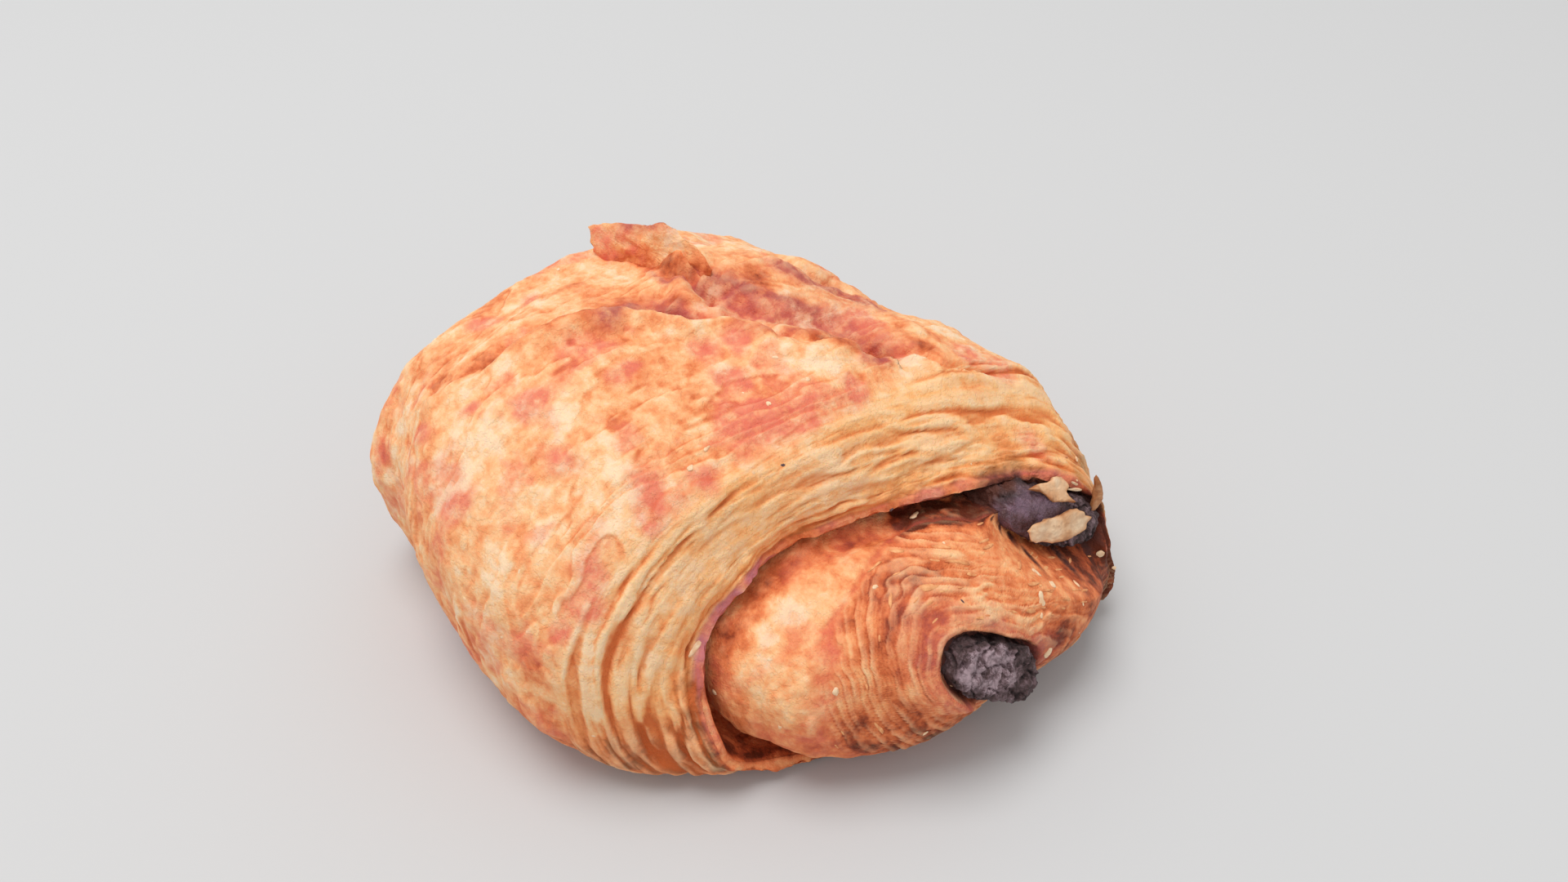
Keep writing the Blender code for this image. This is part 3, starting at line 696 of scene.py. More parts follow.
def masks_of(dough, relief, pushed):
    """How baked, blushed and plum each point is, how much chocolate smear and painted shade darken it, how much
    painted shade its hollows take and how much painted highlight its crests take, from 0 to 1.
    """
    points, t, height = relief.points, dough.t[:, None], dough.bare[..., 2]
    flat, right = np.zeros(height.shape), smooth_step(24, 42, points[..., 1])

    band = smooth_step(T_CUT_LAYERS - 0.1, T_CUT_LAYERS + 0.2, t) * fade(3.9, T_LIP, t)
    groove = smooth_step(T_LIP + 0.5, T_LIP_INSIDE, t) * fade(T_GROOVE - 0.5, T_GROOVE + 0.1, t)
    groove = groove * (1 - relief.closed)
    coil = relief.coiled * np.maximum(smooth_step(T_GROOVE, T_SHOULDER, t), relief.closed)
    roll = smooth_step(T_GROOVE, T_GROOVE + 0.7, t) * (1 - coil)
    low = fade(5, 21, height)
    wrap = (1 - band) * (t < T_LIP)

    # The groove behind the lip is darkened with painted shade.
    bake = flat + 0.29 - 0.08 * band + (0.4 - 0.2 * low) * groove + 0.03 * roll + 0.26 * coil
    bake += 0.18 * relief.layer_tone
    bake += 0.12 * fuzz(relief.blotched, 12, 101) + 0.07 * fuzz(points, 3.5, 102)
    bake += 0.09 * (relief.tone - 0.5) * wrap
    # Painted highlights: paler patches.
    bake -= 0.22 * relief.near(PALE_HIGHLIGHTS)
    # Browned patches, and the rim under the upper baton, browned and darkened with painted shade.
    bake += 0.3 * relief.near(BROWNS) + 0.2 * relief.near(UNDER_BATON_BROWN_AND_SHADE) * coil
    # A browned line along the lip's edge, and darker towards the bottom: the underside's browning with painted
    # shade.
    bake += 0.28 * bump(t - 3.88, 0.17) + (0.24 + 0.18 * band + 0.14 * coil) * low
    # Darker towards the right: the snout's browning with painted shade on the side away from the light.
    bake += 0.05 * right * (1 - low) + 0.3 * right * (coil + roll)
    # Painted shade on the roll just inside the lip, fading away from it.
    shade_inside_lip = fade(2.0, 5.4, relief.to_lip) * smooth_step(T_LIP_INSIDE, T_LIP_INSIDE + 0.3, t)
    bake += 0.42 * shade_inside_lip * (1 - relief.closed) * (0.85 + 0.4 * fuzz(points, 4, 106))
    bake += 0.75 * relief.near(LIP_SHADE) * smooth_step(T_LIP + 0.5, T_LIP + 0.8, t)
    # Painted shadow on the roll under the lip.
    bake += 0.75 * relief.near(UNDER_LIP_GAP_AND_SHADE) * smooth_step(T_LIP_INSIDE - 0.3, T_LIP_INSIDE, t)
    # Painted shade beyond the near sheet's edge, browning on the flap, and a browner far end.
    bake += relief.shade_and_browning + 0.1 * smooth_step(0.2, 0.7, -t)

    patchy = smooth_step(0.05, 0.6, fuzz(relief.blotched, 6, 103, 4))
    blush = relief.near(BLUSHES) + (0.6 * wrap + 0.35 * roll) * patchy + 0.4 * relief.start_line

    rim = smooth_step(3.86, 3.95, t) * fade(T_LIP_INSIDE - 0.3, T_LIP_INSIDE, t)
    rim = rim * smooth_step(6, 18, height)
    lilac = rim * (0.25 + 0.8 * relief.near(LILAC_RIM) + 0.3 * fuzz(points, 4, 107)) * (1 - relief.closed)
    lilac = lilac * (1 - relief.near(LIP_SHADE))
    bake += 0.16 * rim
    size = baton_section(points, LOWER_BATON).size
    collar = coil * bump(np.maximum(size - 1.25, 0), 0.4) * smooth_step(10, 14, height)
    plum = relief.plum + 0.8 * collar * (0.9 + 0.4 * fuzz(points, 5, 104))
    butter = band * (1 - 0.7 * low) * (0.7 + 0.4 * fuzz(points, 10, 108))

    # Dark chocolate brown round the batons' faces and in the listed patches: smeared chocolate, and painted
    # shade along the seams.
    smear = flat.copy()
    for baton in BATONS.values():
        section = baton_section(points, baton)
        near = smooth_step(-9, -2, section.ahead) * fade(3, 8, section.ahead)
        smear = np.maximum(smear, near * fade(1.0, 1.2, section.size + 0.09 * fuzz(points, 3, 105)))
    smear = np.maximum(smear, relief.near(SMEARS_AND_SHADE) * (t > T_LIP_INSIDE))

    fine = blurred(pushed, 3) - pushed
    broad = blurred(pushed, 12) - pushed
    # Painted shade in the hollows, where the relief sinks below its surroundings, and painted shadow lines
    # along the peeling edges.
    hollow = relief.hollow + 1.2 * fine + 0.35 * broad + 0.5 * relief.edges * wrap * (t > -0.3)
    # Painted highlight: crest lightens the ridges, where the relief stands above its surroundings.
    crest = relief.crest - 1.8 * fine - 0.4 * broad
    masks = {"bake": bake, "blush": blush, "plum": plum, "lilac": lilac, "butter": butter}
    masks |= {"smear": smear, "hollow": hollow, "crest": crest}
    return {name: np.clip(mask, 0, 1) for name, mask in masks.items()}


# ------------------------------------------------------------------------------------ the chocolate

Baton = namedtuple("Baton", "near far width height tilt")
LOWER_BATON = Baton((49.3, 7.2, 16.4), (-38.6, 7.2, 17.5), 15.5, 8.0, math.radians(-34))
UPPER_BATON = Baton((38.8, 29.8, 21.4), (-38.0, 19.0, 23.0), 18.5, 7.5, math.radians(-30))
BATONS = {"chocolate_baton_lower": LOWER_BATON, "chocolate_baton_upper": UPPER_BATON}
BATON_LEAN = -0.45
BATON_SQUARENESS = 2.8
BATON_SIDES = 150
BODY_RINGS, FACE_RINGS = 70, 44
DOME, DOME_POWER = 1.25, 2.5
SINK = 1.8  # how far behind a baton's face the dough in front of it is sunk

# Patches on the lower baton's face: mauve-grey bloom, partly painted highlight.
BLOOMS_AND_HIGHLIGHTS = (
    (1195, 812, 2.2), (1215, 815, 2.4), (1232, 822, 1.8), (1185, 832, 1.2), (1215, 838, 1.6),
    (1228, 792, 1.0), (1180, 797, 0.8), (1240, 806, 1.0))
# Patches where the upper baton has melted: smooth and glossy, and painted with a bluish-purple sheen.
MELTED = ((1235, 640, 3.4), (1258, 628, 3.2), (1285, 622, 2.6), (1228, 655, 2.4))
PIXELS_PER_MM = 10.0
FUNNEL = {"chocolate_baton_lower": 0.1, "chocolate_baton_upper": 0.75}
SHADED = (
    (1186, 613, 2.4), (1200, 606, 2.1), (1216, 597, 1.6), (1232, 589, 1.2), (1196, 622, 2.0),
    (1180, 624, 2.4))


Section = namedtuple("Section", "size ahead across up")


def baton_section(points, baton):
    """Where points lie in a baton's section, from -1 to 1, and how far ahead of its near face."""
    near, far = np.array(baton.near), np.array(baton.far)
    reach = near - far
    share = (points[..., 0] - far[0]) / reach[0]
    middle = far + reach * share[..., None]
    y, z = points[..., 1] - middle[..., 1], points[..., 2] - middle[..., 2]
    u = y * math.cos(baton.tilt) + z * math.sin(baton.tilt)
    w = z * math.cos(baton.tilt) - y * math.sin(baton.tilt)
    powers = np.abs(2 * u / baton.width) ** BATON_SQUARENESS + np.abs(2 * w / baton.height) ** BATON_SQUARENESS
    ahead = points[..., 0] - (near[0] + BATON_LEAN * z)
    return Section(powers ** (1 / BATON_SQUARENESS), ahead, 2 * u / baton.width, 2 * w / baton.height)


def seat_batons(points):
    """The points with those in front of a baton's faces sunk behind them, so that the faces show."""
    for name, baton in BATONS.items():
        section = baton_section(points, baton)
        side = 1.12 + FUNNEL[name] * smooth_step(-0.2, 0.7, -section.up - 0.8 * section.across)
        within = fade(1.03, side, section.size)
        past_near = within * np.maximum(section.ahead + SINK, 0)
        past_far = within * np.maximum(baton.far[0] + SINK - points[..., 0], 0)
        points = points + (past_far - past_near)[..., None] * (1, 0, 0)
    return points


def baton_grid(baton):
    """A baton's rings from the middle of its far face to the middle of its near one."""
    near, far = np.array(baton.near), np.array(baton.far)
    angle = np.linspace(0, 2 * math.pi, BATON_SIDES, endpoint=False)
    u = baton.width / 2 * power_of(np.cos(angle), BATON_SQUARENESS)
    w = baton.height / 2 * power_of(np.sin(angle), BATON_SQUARENESS)
    y = u * math.cos(baton.tilt) - w * math.sin(baton.tilt)
    z = u * math.sin(baton.tilt) + w * math.cos(baton.tilt)
    section = np.stack([0 * y, y, z], axis=-1)
    spread = np.linspace(0, 1, BODY_RINGS)
    share = (smooth_step(0, 1, smooth_step(0, 1, spread)) + spread)[:, None, None] / 2
    body = far + (near - far) * share + section
    rise = body[..., 2] - (far + (near - far) * share)[..., 2]
    body[..., 0] += BATON_LEAN * rise * share[..., 0]
    size = np.sin(np.linspace(0, math.pi / 2, FACE_RINGS, endpoint=False))[:, None, None]
    out = DOME * np.maximum(1 - size**DOME_POWER, 0) ** (1 / DOME_POWER) * (1, 0, 0)
    far_face = far + (body[0] - far) * size - out
    near_face = near + (body[-1] - near) * size + out
    return np.concatenate([far_face, body, near_face[::-1]])


def near_pixels(grid, patches):
    """1 in the middle of the patches that the camera sees on a baton, and 0 outside them."""
    total = np.zeros(grid.shape[:-1])
    pixels = pixels_of(grid)[0]
    for column, row, radius in patches:
        away = np.linalg.norm(pixels - (column, row), axis=-1) / PIXELS_PER_MM + 0.5 * fuzz(grid, 2.5, 201)
        total = np.maximum(total, fade(0.3 * radius, 1.3 * radius, away))
    return total


def baton_relief(name, grid):
    """The chocolate's surface: crumbly and dull, and smooth where the upper baton has melted."""
    upper = name == "chocolate_baton_upper"
    melted = near_pixels(grid, MELTED if upper else ())
    bloom = near_pixels(grid, () if upper else BLOOMS_AND_HIGHLIGHTS)
    shaded = near_pixels(grid, SHADED if upper else ())
    stretched = grid * (0.5, 1, 1)
    crumbly = 0.4 * fuzz(stretched, 2.6, 202, 4) + 0.5 * np.abs(fuzz(grid, 1.3, 203, 3))
    pits = -0.6 * np.maximum(fuzz(grid, 1.1, 204, 2) - 0.4, 0)
    cracks = fade(0.02, 0.16, np.abs(fuzz(grid, 3.4, 206, 3)))
    smooth = 0.35 * fuzz(grid, 3.0, 205, 2)
    # The face's rim, set back and darkened with painted shade.
    edge = smooth_step(0.72, 0.98, baton_section(grid, BATONS[name]).size)
    pushed = (crumbly + pits - 0.45 * cracks - 0.2) * (1 - melted) + smooth * melted - 0.35 * edge
    # Painted shade in the pits and cracks.
    pit = np.clip(-2.2 * pits - 1.2 * (crumbly - 0.25) + 0.8 * cracks * (1 - melted), 0, 1)
    masks = {"bloom": bloom, "melted": np.clip(1.3 * melted, 0, 1), "shaded": shaded, "pit": pit, "edge": edge}
    return pushed, masks


# ------------------------------------------------------------------------------------------- meshes


def to_frame(points):
    return (points - ORIGIN) * MM


def add_object(name, data, location=(0, 0, 0), facing=None):
    """An object, with its Z axis turned this way if one is given."""
    obj = bpy.data.objects.new(name, data)
    obj.location = location
    if facing is not None:
        obj.rotation_mode = "QUATERNION"
        obj.rotation_quaternion = Vector(facing).to_track_quat("Z", "Y")
    bpy.context.scene.collection.objects.link(obj)
    return obj


def mesh_object(name, points, faces, normals=None, masks=None):
    """An object from points in loft coordinates, its faces as a flat list of corners with their counts."""
    corners, counts = faces
    mesh = bpy.data.meshes.new(name)
    mesh.vertices.add(len(points))
    mesh.vertices.foreach_set("co", to_frame(points).astype(np.float32).ravel())
    mesh.loops.add(len(corners))
    mesh.loops.foreach_set("vertex_index", corners.astype(np.int32))
    mesh.polygons.add(len(counts))
    mesh.polygons.foreach_set("loop_start", np.concatenate([[0], np.cumsum(counts)[:-1]]).astype(np.int32))
    for mask, values in (masks or {}).items():
        kind, key = ("FLOAT", "value") if values.ndim == 1 else ("FLOAT_VECTOR", "vector")
        made = mesh.attributes.new(mask, kind, "POINT")
        made.data.foreach_set(key, values.astype(np.float32).ravel())
    mesh.update(calc_edges=True)
    mesh.shade_smooth()
    if normals is not None:
        mesh.normals_split_custom_set_from_vertices(normals.tolist())
    return add_object(name, mesh)


def grid_faces(rows, columns, first_pole, last_pole):
    """Quads between the rows of a grid that closes on itself, and a fan of triangles at a pole."""
    column = np.arange(columns)
    after = (column + 1) % columns
    row = np.arange(rows - 1)[:, None] * columns
    quads = np.stack([row + column, row + after, row + columns + after, row + columns + column], axis=-1)
    corners, counts = [quads.ravel()], [np.full(quads.shape[0] * columns, 4)]
    last = (rows - 1) * columns
    if first_pole:
        corners.append(np.stack([0 * column + rows * columns, after, column], axis=-1).ravel())
        counts.append(np.full(columns, 3))
    if last_pole:
        pole = rows * columns + bool(first_pole)
        corners.append(np.stack([0 * column + pole, last + column, last + after], axis=-1).ravel())
        counts.append(np.full(columns, 3))
    return np.concatenate(corners), np.concatenate(counts)


def flattened(grid, first_pole, last_pole):
    """A grid's values as one list, its pole rows each replaced by their mean at the list's end."""
    low, high = int(first_pole), len(grid) - int(last_pole)
    parts = [grid[low:high].reshape(-1, *grid.shape[2:])]
    poles = [row for row, there in ((0, first_pole), (-1, last_pole)) if there]
    parts += [grid[row].mean(axis=0, keepdims=True) for row in poles]
    return np.concatenate(parts)


def grid_object(name, points, normals, masks, first_pole, last_pole):
    rows = len(points) - int(first_pole) - int(last_pole)
    faces = grid_faces(rows, points.shape[1], first_pole, last_pole)
    flat = [flattened(field, first_pole, last_pole) for field in (points, normals)]
    flat_masks = {mask: flattened(values, first_pole, last_pole) for mask, values in masks.items()}
    return mesh_object(name, flat[0], faces, flat[1], flat_masks)


def finish_piece(piece, material, slot, *nodes):
    piece.data.materials.append(material)
    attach(piece, "root")
    if nodes:
        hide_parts(*nodes)
    return piece


def make_dough(material):
    """The dough's pieces. It returns the grid of their points, so that crumbs can be laid on it."""
    dough = Dough()
    relief = Relief(dough)
    pushed = relief.fine()
    masks = masks_of(dough, relief, pushed)
    masks["layer"] = np.stack([relief.out, 0.3 * dough.around(1.5), 0 * relief.out], axis=-1)
    points, normals = dough.points, dough.normals

    for name, (low, high, rows) in DOUGH_PIECES.items():
        first = dough.row(low)
        stretch = slice(first, first + rows + 1)
        cut_masks = {mask: values[stretch] for mask, values in masks.items()}
        ends = low == T_FAR_POLE, high == T_SNOUT_POLE
        piece = grid_object(name, points[stretch], normals[stretch], cut_masks, *ends)
        finish_piece(piece, material, "baked_dough", "pastry")
    return dough, relief


def make_batons(material):
    for name, baton in BATONS.items():
        grid = baton_grid(baton)
        pushed, masks = baton_relief(name, grid)
        points = grid + normals_of(grid) * pushed[..., None]
        normals = normals_of(points)
        piece = grid_object(name.replace("chocolate", "dark"), points, normals, masks, True, True)
        finish_piece(piece, material, "dark_chocolate", name)


# -------------------------------------------------------------------------------- flakes and crumbs

# Flakes that lie on the upper baton: a point of each one's plane, the way that it faces, and its outline.
Flake = namedtuple("Flake", "middle facing thickness outline toast wave", defaults=(0.35, 0.34))
FLAKES = {
    "flake_broad": Flake((40.5, 28.2, 21.9), (1.9, 0.1, 0.85), 0.9, (
        (1257, 651), (1263, 644), (1269, 640), (1280, 636), (1291, 633), (1297, 631), (1306, 627), (1311, 624),
        (1320, 623), (1325, 626), (1328, 631), (1335, 633), (1331, 641), (1330, 647), (1321, 654), (1314, 656),
        (1306, 661), (1297, 663), (1287, 665), (1277, 663), (1268, 665), (1262, 662), (1260, 656))),
    "flake_upper": Flake((38.0, 28.5, 25.8), (0.9, 0.25, 1.0), 0.8, (
        (1261, 599), (1268, 594), (1275, 591), (1282, 591), (1287, 588), (1288, 584), (1293, 583), (1299, 584),
        (1305, 591), (1308, 597), (1306, 602), (1310, 608), (1316, 615), (1308, 614), (1299, 615), (1292, 615),
        (1286, 612), (1280, 606), (1275, 603), (1268, 601))),
    "flake_upright": Flake((39.8, 36.4, 20.9), (0.8, -0.5, 0.2), 0.7, (
        (1336, 626), (1335, 618), (1337, 610), (1337, 602), (1340, 593), (1340, 585), (1342, 581), (1345, 585),
        (1348, 591), (1350, 597), (1351, 604), (1351, 610), (1349, 616), (1345, 621), (1340, 625)), 0.7),
}
FLAKE_RINGS, FLAKE_SIDES = 22, 140

# The torn sheet that stands on top of the dough: its outline and its foot's ends as pixels, and how it rises.
TORN_OUTLINE = (
    (721, 278), (726, 276), (736, 274), (750, 273), (762, 272), (776, 275), (790, 276), (799, 276), (803, 272),
    (812, 272), (819, 277), (826, 281), (836, 290), (846, 299), (857, 310), (866, 321), (873, 331), (871, 342),
    (862, 350), (848, 355), (826, 346), (805, 336), (790, 328), (766, 326), (748, 328), (738, 322), (730, 308),
    (726, 297))
TORN_FOOT = (742, 318), (850, 348)
TORN_RISE = (-0.35, 0.3, 1.0)
TORN_BACK, TORN_THICKNESS, TORN_WAVE = 0.9, 0.9, 0.5
TORN_PLUM_ROWS, TORN_PLUM_COLUMNS, TORN_BROWN_ROWS = (276, 293), (742, 765), (296, 330)
TORN_PALE = (735, 300)


def ray_to_plane(pixels, middle, facing):
    """Where the camera's rays through pixels meet a plane."""
    across = (np.asarray(pixels, float) - (FRAME_WIDTH / 2, FRAME_HEIGHT / 2)) / FOCAL
    ways = across[:, :1] * RIGHT - across[:, 1:] * UP - BACK
    shares = ((np.array(middle) - EYE) @ facing) / (ways @ facing)
    return EYE + ways * shares[:, None]


def rounded_outline(outline, count):
    """An outline's points, spread evenly along it, so that its corners stay crisp."""
    closed = np.concatenate([outline, outline[:1]])
    passed = lengths_along(closed)
    even = np.linspace(0, passed[-1], count, endpoint=False)
    return np.stack([np.interp(even, passed, closed[:, axis]) for axis in range(3)], axis=-1)


def flake_grid(flake):
    """A thin wavy sheet from the middle of its top, over its rim, to the middle of its underside."""
    facing = unit_of(np.array(flake.facing))
    outline = rounded_outline(ray_to_plane(flake.outline, flake.middle, facing), FLAKE_SIDES)
    middle = outline.mean(axis=0)
    outline = outline + (outline - middle) * 0.05 * fuzz(outline, 1.2, 301, 2)[:, None]
    share = np.sin(np.linspace(0, math.pi / 2, FLAKE_RINGS))
    share = np.concatenate([share, share[-2::-1]])[:, None, None]
    side = np.where(np.arange(len(share)) < FLAKE_RINGS, 1, -1)[:, None]
    flat = middle + (outline - middle) * share
    half = flake.thickness / 2 * np.sqrt(np.maximum(1 - share[..., 0] ** 6, 0))
    wave = flake.wave * fuzz(flat, 3.2, 302, 2) + side * (half + 0.16 * fuzz(flat, 0.9, 303, 3))
    return flat + facing * wave[..., None]


def turned_out(points):
    """A closed grid whose faces point outwards, and its normals."""
    normals = normals_of(points)
    if ((points - points.mean(axis=(0, 1))) * normals).sum() < 0:
        return points[:, ::-1], -normals[:, ::-1]
    return points, normals


def make_torn_sheet(dough, material):
    start, end = (dough.points[dough.seen_spot(pixel)] for pixel in TORN_FOOT)
    facing = np.cross(end - start, TORN_RISE)
    middle = (start + end) / 2 - TORN_BACK * unit_of(facing)
    sheet = Flake(middle, facing, TORN_THICKNESS, TORN_OUTLINE, wave=TORN_WAVE)
    points, normals = turned_out(flake_grid(sheet))
    columns, rows = np.moveaxis(pixels_of(points)[0], -1, 0)
    top = fade(*TORN_PLUM_ROWS, rows) * smooth_step(*TORN_PLUM_COLUMNS, columns)
    pale = bump(np.hypot(columns - TORN_PALE[0], rows - TORN_PALE[1]), 16)
    masks = {
        "bake": 0.36 + 0.2 * fuzz(points, 5, 331) + 0.18 * smooth_step(*TORN_BROWN_ROWS, rows) - 0.15 * pale,
        "plum": 0.8 * top,
        "blush": 0.8 * smooth_step(-0.1, 0.5, fuzz(points, 4, 332, 3)),
    }
    piece = grid_object("torn_sheet", points, normals, masks, True, True)
    finish_piece(piece, material, "baked_dough", "pastry")


def make_flakes(material):
    for name, flake in FLAKES.items():
        points, normals = turned_out(flake_grid(flake))
        rim = np.abs(np.linspace(-1, 1, len(points)))[:, None]
        masks = {"toast": np.clip(flake.toast + 0.5 * fuzz(points, 3.0, 304) + 0.55 * (1 - rim) ** 3, 0, 1)}
        piece = grid_object(name, points, normals, masks, True, True)
        finish_piece(piece, material, "baked_dough", "chocolate_baton_upper")


# Crumbs that lie on the dough: a pixel of the photograph, length in mm, how it is turned, and how slim it is.
Crumb = namedtuple("Crumb", "column row length turn slim")
# The last pale crumb, beside the upper baton, stands for a small white glint: a painted highlight.
PALE_CRUMBS = [Crumb(*values) for values in (
    (1120, 628, 1.5, 0.4, 0.8), (1278, 735, 2.0, 1.4, 0.6), (1022, 850, 1.2, 2.0, 0.8),
    (873, 848, 1.0, 0.6, 0.8), (856, 792, 3.2, 0.15, 0.3), (865, 550, 1.0, 0.5, 0.6),
    (842, 572, 1.0, 1.0, 0.6), (1318, 594, 2.2, -0.6, 0.22), (1316, 600, 2.2, -0.2, 0.2),
    (1315, 609, 1.0, 0.3, 0.6), (1271, 700, 1.6, 0.8, 0.6), (1288, 712, 1.4, 0.2, 0.7),
    (1187, 842, 0.9, 0.3, 0.8), (1283, 802, 1.7, 1.0, 0.6), (1318, 713, 1.1, 0.1, 0.6),
    (1346, 679, 1.5, 0.7, 0.6))]
DARK_CRUMBS = [Crumb(*values) for values in (
    (960, 568, 0.5, 0.0, 0.8), (1092, 622, 0.6, 0.0, 0.8), (1180, 735, 0.7, 1.0, 0.5),
    (1354, 603, 1.3, 1.4, 0.5))]
CRUMB_SIDES, CRUMB_RINGS = 18, 10
CRUMB_FLATNESS = 0.35
CRUMB_SEED = 321
SCATTERED_CRUMBS, CRUMBS_ABOVE = 60, 8
CRUMB_LENGTHS, CRUMB_SLIMNESS = (0.35, 0.9), (0.4, 0.9)
SLIVERS, SLIVERS_ABOVE, T_SLIVERS_END = 90, 6, 8.9
SLIVER_LENGTHS, SLIVER_SLIMNESS = (0.6, 2.6), (0.14, 0.36)


def turned(normal, turn):
    """A heading along the surface, turned by an angle from level."""
    sideways = unit_of(np.cross(normal, (0.0, 0.0, 1.0)))
    return sideways * math.cos(turn) + np.cross(normal, sideways) * math.sin(turn)


def crumb_grid(dough, spot, along, length, slim, seed):
    """A small uneven lump that lies on the dough, half sunk into it."""
    normal = dough.normals[spot]
    across = np.cross(normal, along)
    polar = np.linspace(0, math.pi, CRUMB_RINGS)[:, None]
    angle = np.linspace(0, 2 * math.pi, CRUMB_SIDES, endpoint=False)[None]
    level = np.sin(polar)
    ball = np.stack([np.cos(angle) * level, np.sin(angle) * level, np.cos(polar) + 0 * angle], axis=-1)
    ball = ball * (1 + 0.5 * fuzz(ball + 9 * seed, 1.1, 311, 2)[..., None])
    away = ball[..., :1] * along + slim * ball[..., 1:2] * across
    away = away + CRUMB_FLATNESS * slim * ball[..., 2:] * normal
    return dough.points[spot] + length / 2 * away


def joined_grids(name, grids):
    """One mesh of many small closed grids."""
    points, corners, counts, base = [], [], [], 0
    for grid in grids:
        piece_corners, piece_counts = grid_faces(len(grid) - 2, grid.shape[1], True, True)
        flat = flattened(grid, True, True)
        points.append(flat)
        corners.append(piece_corners + base)
        counts.append(piece_counts)
        base += len(flat)
    return mesh_object(name, np.concatenate(points), (np.concatenate(corners), np.concatenate(counts)))


def layer_heading(dough, layer, spot):
    """The way that the layers run at a spot of the grid: along it, this field of theirs stays level."""
    row, column = spot
    after = (column + 1) % COLUMNS

    def change(field):
        return field[row + 1, column] - field[row - 1, column], field[row, after] - field[row, column - 1]

    uphill, ways = change(layer), change(dough.points)
    heading = ways[1] * uphill[0] - ways[0] * uphill[1]
    return unit_of(heading - dough.normals[spot] * (heading @ dough.normals[spot]))


def make_crumbs(dough, relief, pale, tan, dark):
    draw = np.random.default_rng(CRUMB_SEED)
    for name, crumbs, material in (("pale_crumbs", PALE_CRUMBS, pale), ("dark_crumbs", DARK_CRUMBS, dark)):
        grids = []
        for number, crumb in enumerate(crumbs):
            spot = dough.seen_spot((crumb.column, crumb.row))
            along = turned(dough.normals[spot], crumb.turn)
            grids.append(crumb_grid(dough, spot, along, crumb.length, crumb.slim, number))
        if crumbs is PALE_CRUMBS:
            high = np.argwhere(dough.points[..., 2] > CRUMBS_ABOVE)
            for number, spot in enumerate(draw.choice(high, SCATTERED_CRUMBS)):
                spot = tuple(spot)
                along = turned(dough.normals[spot], draw.uniform(0, 3))
                shape = draw.uniform(*CRUMB_LENGTHS), draw.uniform(*CRUMB_SLIMNESS)
                grids.append(crumb_grid(dough, spot, along, *shape, 50 + number))
        slot = "baked_dough" if crumbs is PALE_CRUMBS else "dark_chocolate"
        finish_piece(joined_grids(name, grids), material, slot)

    grids = []
    area = np.linalg.norm(np.cross(*(np.gradient(dough.points, axis=axis) for axis in (0, 1))), axis=-1)
    chance = relief.near(FLAKY) + 0.15 * relief.coiled * (dough.points[..., 2] > SLIVERS_ABOVE)
    chance = area * chance * (dough.t[:, None] < T_SLIVERS_END)
    evenly = (np.arange(SLIVERS) + draw.random(SLIVERS)) / SLIVERS
    for number, place in enumerate(np.searchsorted(np.cumsum(chance) / chance.sum(), evenly)):
        spot = np.unravel_index(place, dough.seen.shape)
        along = layer_heading(dough, relief.out, spot)
        shape = draw.uniform(*SLIVER_LENGTHS), draw.uniform(*SLIVER_SLIMNESS)
        grids.append(crumb_grid(dough, spot, along, *shape, 150 + number))
    finish_piece(joined_grids("loose_slivers", grids), tan, "baked_dough")


# ---------------------------------------------------------------------------------------- materials


def display(red, green, blue):
    """A colour as a screen shows it, 0 to 255, as the renderer takes it."""
    shares = [value / 255 for value in (red, green, blue)]
    linear = [share / 12.92 if share <= 0.04045 else ((share + 0.055) / 1.055) ** 2.4 for share in shares]
    return (*linear, 1)


class Socket:
    """A socket of a material. Arithmetic on it adds Math nodes, with a socket or a number on the other side."""

    def __init__(self, output):
        self.output = output

    def math(self, operation, first, second=0.0, clamp=False):
        settings = {"operation": operation, "use_clamp": clamp}
        return node(self.output.id_data, "ShaderNodeMath", settings, {0: first, 1: second})

    def __add__(self, other):
        return self.math("ADD", self, other)

    def __sub__(self, other):
        return self.math("SUBTRACT", self, other)

    def __rsub__(self, other):
        return self.math("SUBTRACT", other, self)

    def __mul__(self, other):
        return self.math("MULTIPLY", self, other)

    __radd__, __rmul__ = __add__, __mul__

    def clamped(self):
        return self.math("ADD", self, 0.0, clamp=True)


def node(tree, kind, settings, inputs, output=0):
    """Adds a node, makes its settings, then sets or links its inputs. It returns one of its outputs."""
    made = tree.nodes.new(kind)
    for setting, value in settings.items():
        if setting == "stops":
            fill_ramp(made.color_ramp, value)
        else:
            setattr(made, setting, value)
    for key, value in inputs.items():
        if isinstance(value, Socket):
            tree.links.new(value.output, made.inputs[key])
        else:
            made.inputs[key].default_value = value
    return Socket(made.outputs[output])


def fill_ramp(ramp, stops):
    while len(ramp.elements) < len(stops):
        ramp.elements.new(1)
    for element, (place, *colour) in zip(ramp.elements, stops):
        element.position = place
        element.color = display(*colour)


